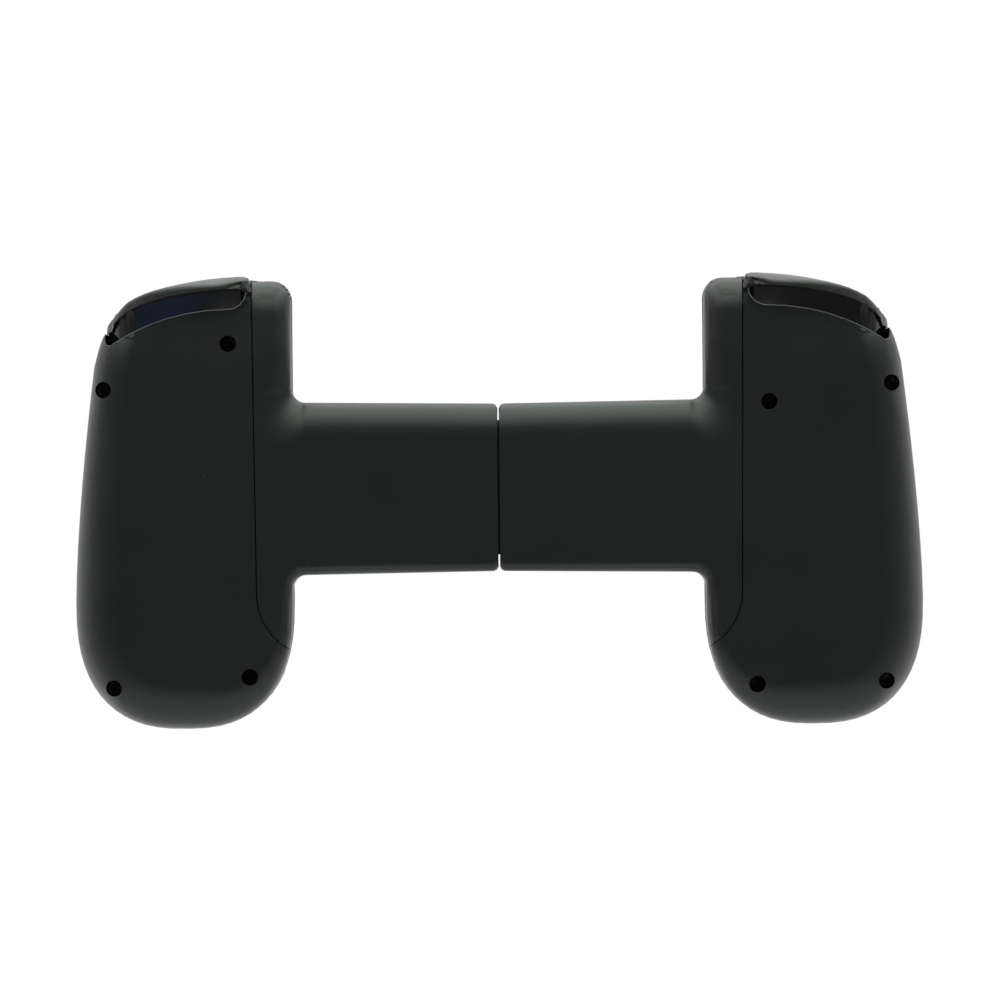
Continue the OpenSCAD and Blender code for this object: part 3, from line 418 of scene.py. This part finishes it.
def break_edges(rounding):
    """Rounds every sharp edge of the copy in hand."""
    bpy.ops.mesh.select_mode(type="EDGE")
    bpy.ops.mesh.edges_select_sharp(sharpness=math.radians(SHARP_EDGE))
    bpy.ops.mesh.bevel(offset=rounding * MM, segments=ROUNDING_STEPS, affect="EDGES", clamp_overlap=False)
    bpy.ops.mesh.select_all(action="DESELECT")


def set_in_place(piece, node):
    """Shades a finished copy smooth and puts it in its solid's place."""
    bpy.ops.object.mode_set(mode="OBJECT")
    bpy.ops.object.shade_smooth_by_angle(angle=math.radians(SMOOTH_UNDER))
    evened = piece.modifiers.new("weighted_normal", "WEIGHTED_NORMAL")
    evened.weight = 60
    evened.keep_sharp = True
    bpy.ops.object.modifier_apply(modifier=evened.name)
    slot = SLOT_OF[node]
    paint(piece, FINISHES[slot])
    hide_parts(node)
    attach(piece, BODY_OF[node])
    return piece


def moulded(node, rounding=0.0):
    """A moulded copy of a solid, with its sharp edges rounded where a rounding is given."""
    piece = copy_of(node)
    if rounding:
        break_edges(rounding)
    return set_in_place(piece, node)


def corner_normals(mesh):
    return [corner.vector.copy() for corner in mesh.corner_normals]


def shade_crown(piece, crown, facing, sink, least=CROWN_LOOKS):
    """Shades a crown by its own slope, whatever triangles it is cut into."""
    mesh = piece.data
    normals = corner_normals(mesh)
    for face in mesh.polygons:
        if facing * face.normal.y < least:
            continue
        for corner in face.loop_indices:
            point = mesh.loops[corner].vertex_index
            if point in crown:
                at = mesh.vertices[point].co
                along_x, along_z = slopes(sink, at.x / MM, at.z / MM)
                normals[corner] = Vector((along_x, facing, along_z)).normalized()
    mesh.normals_split_custom_set(normals)


# The back: sizes in millimetres, x across from the middle, y from back to front, z up.
# A name with LOOKS, and SIDEWAYS, is a limit on the way that a face looks, from -1 to 1.
BACK = -11.5
SAME_LEVEL = 0.01
SIDEWAYS = 0.05
CLOSE_ROLL = 4.0
BROAD_ROLL = 7.0
EDGE_CLEAR = 0.4
ROLL_LOOKS = 0.45
BEND_FROM = 5.0
BEND_OVER = 3.0
BRIDGE_TOP = 20.0
BRIDGE_RISE = 0.5
FILLET_X = 39.9
FILLET_Z = 23.3
FILLET_ROUND = 2.8
FILLET_SPREAD = 5.5
BAY_SIDE = 42.7
BAY_TAPER = 9.0
UPRIGHT_TOP = 45.7
UPRIGHT_FLAT = 0.05
TOP_ROLL = 7.0
TOP_FALL = 20.0
TOP_DROP = 1.6
TOP_BEND = 1.5
BAY_CUTS = steps(35.0, 50.0, 16)
BRIDGE_CUTS = steps(9.0, 45.0, 37)
GRIP_CUTS = steps(29.0, 45.0, 17)


def roll_depth(inset, breadth):
    """Depth below the crown of a rolled edge that is broader than it is deep."""
    if inset >= breadth:
        return 0.0
    outward = 1.0 - max(inset, 0.0) / breadth
    return CLOSE_ROLL * (1.0 - math.sqrt(max(0.0, 1.0 - outward ** 2)))


def bay_inset(x, z):
    """Distance in from the edge of the phone's bay, and the breadth of the roll there.

    The edge runs along the bridge's top, round its fillet and up the upright's side.
    """
    if x < FILLET_X:
        return BRIDGE_TOP + BRIDGE_RISE * x / FILLET_X - z, BROAD_ROLL
    if z < FILLET_Z:
        spread = math.sin(2.0 * math.atan2(x - FILLET_X, FILLET_Z - z))
        return math.hypot(x - FILLET_X, z - FILLET_Z) - FILLET_ROUND, BROAD_ROLL + FILLET_SPREAD * spread
    narrowing = min(1.0, (z - FILLET_Z) / BAY_TAPER)
    return x - BAY_SIDE, BROAD_ROLL - (BROAD_ROLL - CLOSE_ROLL) * narrowing


def bay_depth(x, z):
    """Depth below the crown of the broad roll round the bay."""
    return roll_depth(*bay_inset(abs(x), z))


def bay_sink(x, z):
    """How much further that roll falls away from the crown than the solid's close one."""
    return bay_depth(x, z) - roll_depth(bay_inset(abs(x), z)[0], CLOSE_ROLL)


def top_fall(x, z):
    """The slow fall of the back towards the top of the uprights and the triggers."""
    if abs(x) < FILLET_X or z < UPRIGHT_TOP - TOP_FALL:
        return 0.0
    return TOP_DROP * (1.0 - max(0.0, UPRIGHT_TOP - z) / TOP_FALL) ** TOP_BEND


def top_roll(x, z, breadth):
    """Depth below the crown of a roll of the given breadth over the top of the uprights."""
    return roll_depth(UPRIGHT_TOP - z, breadth) if abs(x) > FILLET_X else 0.0


def top_depth(x, z):
    """Depth below the crown of the slow fall and the broad roll at the top."""
    return top_fall(x, z) + top_roll(x, z, TOP_ROLL)


def top_sink(x, z):
    """How much further the top falls away than the solid's close roll."""
    return top_depth(x, z) - top_roll(x, z, CLOSE_ROLL)


def back_sink(x, z):
    return bay_sink(x, z) + top_sink(x, z)


def outer_skin(piece):
    """The points of the faces that look backwards, and of the uprights' flat tops."""
    skin = set()
    for face in piece.data.polygons:
        if face.normal.y < -SIDEWAYS or face.center.z > (UPRIGHT_TOP - UPRIGHT_FLAT) * MM:
            skin.update(face.vertices)
    return skin


def bend_back(piece, sink):
    """Lets the outer skin of the back fall away by the given depth, and names the points of its crown."""
    bpy.ops.object.mode_set(mode="OBJECT")
    points = piece.data.vertices
    crown = {v.index for v in points if abs(v.co.y - BACK * MM) < SAME_LEVEL * MM}
    for k in outer_skin(piece):
        at = points[k].co
        share = clamp((-at.y / MM - BEND_FROM) / BEND_OVER)
        at.y += share * sink(at.x / MM, at.z / MM) * MM
    bpy.ops.object.mode_set(mode="EDIT")
    return crown


def on_bay_roll(x, z):
    """Whether a point lies on the roll round the bay, clear of its outer edge and of the upright's top."""
    inset, breadth = bay_inset(x, z)
    return z < UPRIGHT_TOP - TOP_ROLL and EDGE_CLEAR < inset < breadth


def on_top_roll(x, z):
    """Whether a point lies on the roll over an upright's top, clear of its outer edge and of its corner."""
    return x > BAY_SIDE + TOP_ROLL and EDGE_CLEAR < UPRIGHT_TOP - z < TOP_ROLL


def shade_roll(piece, on_roll, depth):
    """Shades the points that lie on a roll by the roll's own slope."""
    rolled = {v.index for v in piece.data.vertices if on_roll(abs(v.co.x) / MM, v.co.z / MM)}
    shade_crown(piece, rolled, BACKWARD, depth, ROLL_LOOKS)


def bridge_back(side, hand):
    """A bridge cover with a broad upper roll and a soft top to its upright."""
    node = side + "_bridge_cover"
    piece = copy_of(node)
    slice_up(UP, BRIDGE_CUTS)
    slice_up(ACROSS, [hand * x for x in BAY_CUTS])
    crown = bend_back(piece, back_sink)
    set_in_place(piece, node)
    shade_crown(piece, crown, BACKWARD, back_sink)
    shade_roll(piece, on_bay_roll, lambda x, z: bay_depth(x, z) + top_fall(x, z))
    shade_roll(piece, on_top_roll, top_depth)
    return piece


# The grips: sizes in millimetres.
OPENING_SIDES = (51.9, 80.2)
OPENING_FOOT = 33.0
OPENING_TOP = 44.8
OPENING_BEND = 75.0
OPENING_LEAN = 0.1
RIM_THICK = 0.2
RIM_BEHIND = -6.0
RIM_LOOKS = 0.35
GRIP_MID = 65.0
WELL = 1.7
WELL_RIM = 0.15
WELL_NEAR = 2.0
WELL_FAR = 9.0
WELL_LOOKS = -0.15
FRONT_LOOKS = 0.99


def by_opening(x, z):
    """Whether a point of the back lies on the edge of the trigger's opening."""
    foot = OPENING_FOOT + max(0.0, OPENING_BEND - x) * OPENING_LEAN
    return OPENING_SIDES[0] < x < OPENING_SIDES[1] and foot < z < OPENING_TOP


def rim_bead(piece):
    """The fine raised rim that follows the trigger's opening round the back of a grip."""
    bpy.ops.object.mode_set(mode="OBJECT")
    mesh = piece.data
    sides = {}
    for face in mesh.polygons:
        for key in face.edge_keys:
            sides.setdefault(key, []).append(abs(face.normal.y))
    for edge in mesh.edges:
        first, second = (mesh.vertices[k].co / MM for k in edge.vertices)
        middle = (first + second) / 2.0
        on_rim = max(sides[edge.key]) > RIM_LOOKS and min(sides[edge.key]) < SIDEWAYS
        edge.select = on_rim and middle.y < RIM_BEHIND and by_opening(abs(middle.x), middle.z)
    bpy.ops.object.mode_set(mode="EDIT")
    bpy.ops.mesh.select_mode(type="EDGE")
    bpy.ops.mesh.duplicate()
    bpy.ops.mesh.separate(type="SELECTED")
    bpy.ops.object.mode_set(mode="OBJECT")
    bead = [o for o in bpy.context.selected_objects if o is not piece][0]
    only(bead)
    bpy.ops.object.convert(target="CURVE")
    bead.data.bevel_depth = RIM_THICK / 2.0 * MM
    bead.data.bevel_resolution = 2
    bead.data.use_fill_caps = True
    bpy.ops.object.convert(target="MESH")
    bpy.ops.object.shade_smooth()
    # The bead's pale grey is a painted highlight along the rim.
    paint(bead, RIM_HIGHLIGHT_PAINT)
    piece.select_set(True)
    bpy.context.view_layer.objects.active = piece
    bpy.ops.object.join()


def well_places(side, hand):
    """The middles of the four screw wells in a grip's back."""
    corners = {}
    for point in frame["nodes"][side + "_cover_screws"].data.vertices:
        x, z = point.co.x / MM, point.co.z / MM
        corners.setdefault((hand * x > GRIP_MID, z > 0.0), []).append((x, z))
    return [tuple((min(way) + max(way)) / 2.0 for way in zip(*spots)) for spots in corners.values()]


def shade_wells(piece, wells, crown):
    """Shades the rims of the wells like the rolled skin that they are sunk in."""
    mesh = piece.data
    normals = corner_normals(mesh)
    skin = {}
    for face in mesh.polygons:
        if face.normal.y < WELL_LOOKS:
            for corner in face.loop_indices:
                skin.setdefault(mesh.loops[corner].vertex_index, []).append(corner)
    places = {k: mesh.vertices[k].co / MM for k in skin}
    for well in wells:
        away = {k: math.hypot(at.x - well[0], at.z - well[1]) for k, at in places.items()}
        rim = [k for k in skin if abs(away[k] - WELL) < WELL_RIM and k not in crown]
        plain = sorted((mesh.vertices[k].co.y, k) for k in skin if WELL_NEAR < away[k] < WELL_FAR)
        for k in rim:
            depth = mesh.vertices[k].co.y
            level = depth + WELD * MM
            above = [p for p in plain if p[0] <= level]
            below = [p for p in plain if p[0] > level]
            if not above or not below:
                continue
            next_above = [p for p in above if p[0] > above[-1][0] - SAME_LEVEL * MM]
            next_below = [p for p in below if p[0] < below[0][0] + SAME_LEVEL * MM]
            high = min(next_above, key=lambda p: away[p[1]])
            low = min(next_below, key=lambda p: away[p[1]])
            share = clamp((depth - high[0]) / (low[0] - high[0]))
            normal = normals[skin[high[1]][0]].lerp(normals[skin[low[1]][0]], share)
            for corner in skin[k]:
                normals[corner] = normal.normalized()
    mesh.normals_split_custom_set(normals)


def grip_back(side, hand):
    """A grip's back with a soft top and a raised rim round the trigger's opening."""
    node = side + "_grip_back"
    piece = copy_of(node)
    slice_up(UP, GRIP_CUTS)
    crown = bend_back(piece, top_sink)
    set_in_place(piece, node)
    shade_crown(piece, crown, BACKWARD, top_sink)
    shade_wells(piece, well_places(side, hand), crown)
    rim_bead(piece)
    return piece


def plain_front(piece):
    """Shades the broadest level that looks to the front as one plain panel."""
    levels = {}
    for face in piece.data.polygons:
        if face.normal.y > FRONT_LOOKS:
            level = round(face.center.y / MM, 2)
            levels[level] = levels.get(level, 0.0) + face.area
    front = max(levels, key=levels.get) * MM
    panel = {v.index for v in piece.data.vertices if abs(v.co.y - front) < SAME_LEVEL * MM}
    shade_crown(piece, panel, FORWARD, lambda x, z: 0.0)
    return piece


# The triggers: sizes in millimetres.
LIP_MID = (51.0, 35.0)
LIP_HALF = (30.1, 12.0)
LIP_POWER = 2.1
LIP_LINE = 0.35
LIP_THICK = 2.75
LIP_SIDE = 1.05
LIP_ROUND = 0.6
LIP_ROUND_STEPS = 4
LIP_FALL = 1.6
LIP_ROLL = 3.5
LIP_OUTER = (56.0, 74.0)
LIP_OUTER_EASE = 0.8
LIP_END = (76.0, 80.0)
LIP_LOOKS_OUT = 0.8
LIP_LOOKS_DOWN = -0.3
LIP_BEHIND = -2.0
LIP_LEAN_REACH = 0.2
LIP_SHADED_TO = 79.0
LIP_SHADED_NEAR = 0.06
LIP_SHADED_LOOKS = 0.3
TIP = (79.6, 80.9)
TIP_OUT = 0.22
TIP_DOWN = 0.3
TIP_LOWER = (35.4, 37.0)
TRIGGER_FRONT = 1.6
TRIGGER_REACH = 18.6
TRIGGER_CUTS = steps(53.8, 79.8, 27)
TRIGGER_DEEP_CUTS = steps(-16.0, 0.0, 17)
NOSE = 52.7
NOSE_END = 51.1
NOSE_INSIDE = 0.2
NOSE_UPRIGHT = 1.0
NOSE_BEHIND = 2.0
NOSE_LIFT = 0.4
NOSE_FADE = (53.5, 58.0)
NOSE_FRONT = 7.0
SKIRT_BACK = -8.6
SKIRT_DEPTHS = (-9.2, -3.0)
SKIRT_FLAT = 74.9
SKIRT_LOOKS = -0.3


def lip_top(x):
    """Height of the trigger's top edge."""
    reach = clamp((x - LIP_MID[0]) / LIP_HALF[0])
    return LIP_MID[1] - LIP_LINE + LIP_HALF[1] * (1.0 - reach ** LIP_POWER) ** (1.0 / LIP_POWER)


def in_lip(x, z):
    """Whether a point lies in the trigger's lip and not in the skirt below it."""
    across = max(0.0, x - LIP_MID[0]) / (LIP_HALF[0] - LIP_SIDE)
    up = max(0.0, z - LIP_MID[1]) / (LIP_HALF[1] - LIP_THICK)
    return across ** LIP_POWER + up ** LIP_POWER > 1.0


def lip_edges(mesh, hand):
    """The edges where a lip's top meets its back."""
    tops, backs = set(), set()
    for face in mesh.polygons:
        x, y, z = face.center / MM
        x *= hand
        lean = (lip_top(x - LIP_LEAN_REACH) - lip_top(x + LIP_LEAN_REACH)) / (2.0 * LIP_LEAN_REACH)
        outward = (hand * face.normal.x * lean + face.normal.z) / math.hypot(lean, 1.0)
        if outward > LIP_LOOKS_OUT and in_lip(x, z):
            tops.update(face.edge_keys)
        elif face.normal.z > LIP_LOOKS_DOWN and y < LIP_BEHIND and in_lip(x, z):
            backs.update(face.edge_keys)
    return tops & backs


def on_nose_end(first, second):
    """Whether an edge between two points stands at the back of the nose's end."""
    inside = max(abs(first.x), abs(second.x)) < NOSE - NOSE_INSIDE
    upright = abs(first.z - second.z) > NOSE_UPRIGHT
    return inside and upright and max(first.y, second.y) < BACK - NOSE_BEHIND


def round_lip(piece, hand):
    """Rounds the upper edge of a lip where it turns down at the back, and the end of its nose."""
    bpy.ops.object.mode_set(mode="OBJECT")
    mesh = piece.data
    upper = lip_edges(mesh, hand)
    for edge in mesh.edges:
        first, second = (mesh.vertices[k].co / MM for k in edge.vertices)
        edge.select = edge.key in upper or on_nose_end(first, second)
    bpy.ops.object.mode_set(mode="EDIT")
    bpy.ops.mesh.select_mode(type="EDGE")
    bpy.ops.mesh.bevel(offset=LIP_ROUND * MM, segments=LIP_ROUND_STEPS, affect="EDGES")
    bpy.ops.mesh.select_all(action="DESELECT")
    bpy.ops.object.mode_set(mode="OBJECT")
    for point in mesh.vertices:
        point.co.x = hand * max(NOSE_END * MM, hand * point.co.x)
    bpy.ops.object.mode_set(mode="EDIT")


def lip_fall(y):
    """How far the solid's lip has fallen at a place from front to back."""
    return LIP_FALL * max(0.0, (TRIGGER_FRONT - y) / TRIGGER_REACH)


def lip_lift(x, y):
    """How much higher the lip's top rolls than the solid's straight one."""
    straight = lip_fall(y)
    ease = 1.0 - LIP_OUTER_EASE * fade(x, *LIP_OUTER)
    rolled = LIP_FALL * ease * (straight / LIP_FALL) ** LIP_ROLL
    nose = NOSE_LIFT * (1.0 - fade(x, *NOSE_FADE)) * fade(-y, NOSE_FRONT, -BACK)
    return (straight - rolled) * (1.0 - fade(x, *LIP_END)) + nose


def lip_height(x, y):
    return lip_top(x) - lip_fall(y) + lip_lift(x, y)


def shade_lip(mesh, normals):
    """Shades a lip's top by its own slope, whatever triangles it is cut into."""
    for face in mesh.polygons:
        if face.normal.z < LIP_SHADED_LOOKS:
            continue
        for corner in face.loop_indices:
            at = mesh.vertices[mesh.loops[corner].vertex_index].co / MM
            x = abs(at.x)
            if NOSE < x < LIP_SHADED_TO and abs(at.z - lip_height(x, at.y)) < LIP_SHADED_NEAR:
                outward, forward = slopes(lip_height, x, at.y)
                along_x = math.copysign(1.0, at.x) * outward
                normals[corner] = Vector((-along_x, -forward, 1.0)).normalized()


def roll_lip(piece):
    """Lifts the middle of a lip's top, so that it rolls over instead of falling straight back."""
    for point in piece.data.vertices:
        x, y, z = abs(point.co.x) / MM, point.co.y / MM, point.co.z / MM
        if not in_lip(x, z):
            continue
        top = lip_top(x) - lip_fall(y)
        under = lip_top(x) - LIP_THICK
        point.co.z += lip_lift(x, y) * clamp((z - under) / (top - under)) * MM
        tip = fade(x, *TIP)
        point.co.x += math.copysign(TIP_OUT * tip * MM, point.co.x)
        point.co.z -= TIP_DOWN * tip * (1.0 - fade(z, *TIP_LOWER)) * MM


def flat_skirt(piece):
    """Makes the skirt one flat panel as far as its rounded outer end, and names the panel's corners."""
    mesh = piece.data
    corners = set()
    for face in mesh.polygons:
        if face.normal.y < SKIRT_LOOKS and SKIRT_DEPTHS[0] < face.center.y / MM < SKIRT_DEPTHS[1]:
            for corner in face.loop_indices:
                at = mesh.vertices[mesh.loops[corner].vertex_index].co
                if abs(at.x) < SKIRT_FLAT * MM:
                    corners.add(corner)
                    at.y = SKIRT_BACK * MM
    return corners


def trigger(side, hand):
    """A trigger with a satin lip that rolls over at the back, and a flat glossy skirt below it."""
    node = side + "_trigger"
    piece = copy_of(node)
    round_lip(piece, hand)
    slice_up(ACROSS, [hand * x for x in TRIGGER_CUTS])
    slice_up(DEEP, TRIGGER_DEEP_CUTS)
    bpy.ops.object.mode_set(mode="OBJECT")
    roll_lip(piece)
    skirt = flat_skirt(piece)
    set_in_place(piece, node)
    mesh = piece.data
    normals = corner_normals(mesh)
    for corner in skirt:
        normals[corner] = BACKWARD * DEEP
    shade_lip(mesh, normals)
    mesh.normals_split_custom_set(normals)
    mesh.materials.append(LIP_FINISH)
    for face in mesh.polygons:
        x, y, z = face.center / MM
        if y < SKIRT_DEPTHS[0] or in_lip(abs(x), z):
            face.material_index = 1
    return piece


# The pieces: the solids are painted, and what is seen or touched is moulded over them.
PAD_ROUND = 0.25
BUMPER_ROUND = 0.35
PLUG_ROUND = 0.12

for node, piece in frame["nodes"].items():
    paint(piece, SCREW_FINISH if node.endswith("cover_screws") else FINISHES[SLOT_OF[node]])

for side, hand in (("left", 1.0), ("right", -1.0)):
    grip_back(side, hand)
    plain_front(moulded(side + "_face"))
    bridge_back(side, hand)
    moulded(side + "_bridge_tray")
    moulded(side + "_phone_pad", PAD_ROUND)
    trigger(side, hand)
    moulded(side + "_bumper", BUMPER_ROUND)
    moulded(side + "_thumbstick")
for place in ("top", "bottom", "inner", "outer", "options", "capture", "menu", "home"):
    moulded(place + "_button")
plain_front(moulded("dpad"))
moulded("phone_plug", PLUG_ROUND)


# Camera, in metres: level, straight at the back, turned a little as the photograph is.
CAMERA_AWAY = 1.6
CAMERA_ASIDE = 0.25 * MM
CAMERA_TURN = -0.5
FRAME_WIDE = 0.208
SENSOR = 36.0

camera = bpy.data.objects.new("camera", bpy.data.cameras.new("camera"))
bpy.context.scene.collection.objects.link(camera)
camera.data.sensor_width = SENSOR
camera.data.lens = SENSOR * CAMERA_AWAY / FRAME_WIDE
camera.data.clip_end = 20.0
camera.location = (CAMERA_ASIDE, -CAMERA_AWAY, 0.0)
camera.rotation_mode = "QUATERNION"
level_view = Euler((math.radians(90.0), 0.0, 0.0)).to_quaternion()
camera.rotation_quaternion = level_view @ Quaternion(UP, math.radians(CAMERA_TURN))
bpy.context.scene.camera = camera


# Lights, in metres and watts.
def soft_box(name, place, aim, size, power, colour=(1.0, 1.0, 1.0)):
    """An area lamp that the camera doesn't see."""
    lamp = bpy.data.lights.new(name, "AREA")
    lamp.shape = "RECTANGLE"
    lamp.size, lamp.size_y = size
    lamp.energy = power
    lamp.color = colour
    holder = bpy.data.objects.new(name, lamp)
    bpy.context.scene.collection.objects.link(holder)
    holder.location = place
    holder.rotation_mode = "QUATERNION"
    holder.rotation_quaternion = (Vector(aim) - Vector(place)).to_track_quat("-Z", "Y")
    holder.visible_camera = False


soft_box("overhead_box", place=(0.0, -0.185, 0.42), aim=(0.0, -0.185, 0.0), size=(1.2, 0.87),
         power=6.9, colour=(0.87, 1.0, 0.90))
soft_box("blue_card", place=(-0.138, -CAMERA_AWAY, 0.08), aim=(-0.068, -0.01, 0.04), size=(0.026, 0.05),
         power=0.0014, colour=(0.08, 0.30, 1.0))
for hand in (1.0, -1.0):
    soft_box("pale_card", place=(hand * 0.1115, -CAMERA_AWAY, 0.075), aim=(hand * 0.0558, -0.01, 0.0375),
             size=(0.007, 0.013), power=0.0003)


# Floor, in metres.
FLOOR_RADIUS = 0.3
FLOOR_DROP = 0.2

bpy.ops.object.select_all(action="DESELECT")
bpy.ops.mesh.primitive_circle_add(vertices=96, radius=FLOOR_RADIUS, fill_type="NGON",
                                  location=(0.0, 0.0, solid_box[0].z - FLOOR_DROP))
floor = bpy.context.active_object
floor.name = "pale_floor"
pale = Finish("pale_floor", roughness=0.8, specular=0.2)
pale.set("Base Color", pale.mix(pale.noise(3.0), rgb(0.50, 0.50, 0.50), rgb(0.54, 0.54, 0.54)))
paint(floor, pale.material)


# Room light: white to the camera, and on the object bright from behind it and dim from the camera's side.
world = bpy.data.worlds.new("studio")
bpy.context.scene.world = world
world.use_nodes = True
room = Nodes(world.node_tree)
facing = room.node("ShaderNodeTexCoord", output="Generated")
away = room.node("ShaderNodeSeparateXYZ", inputs={0: facing}, output="Y")
upward = room.node("ShaderNodeSeparateXYZ", inputs={0: facing}, output="Z")
round_about = away.ramp(-1.0, 0.25, 0.12, 0.62, "LINEAR") + away.ramp(-0.3, 0.5, 0.0, 0.45, "LINEAR")
overhead = upward.ramp(0.4, 1.0, 0.0, 0.6, "LINEAR")
from_below = upward.ramp(-0.4, -0.05, 0.28, 0.0, "LINEAR")
glow = round_about + overhead + from_below
lit = room.node("ShaderNodeBackground", inputs={"Color": glow, "Strength": 1.0})
seen = room.node("ShaderNodeBackground", inputs={"Color": rgb(1.0, 1.0, 1.0), "Strength": 1.0})
to_camera = room.node("ShaderNodeLightPath", output="Is Camera Ray")
studio = room.node("ShaderNodeMixShader", inputs={0: to_camera, 1: lit, 2: seen})
room.feed(room.tree.nodes.new("ShaderNodeOutputWorld").inputs[0], studio)
bpy.context.scene.view_settings.view_transform = "Standard"
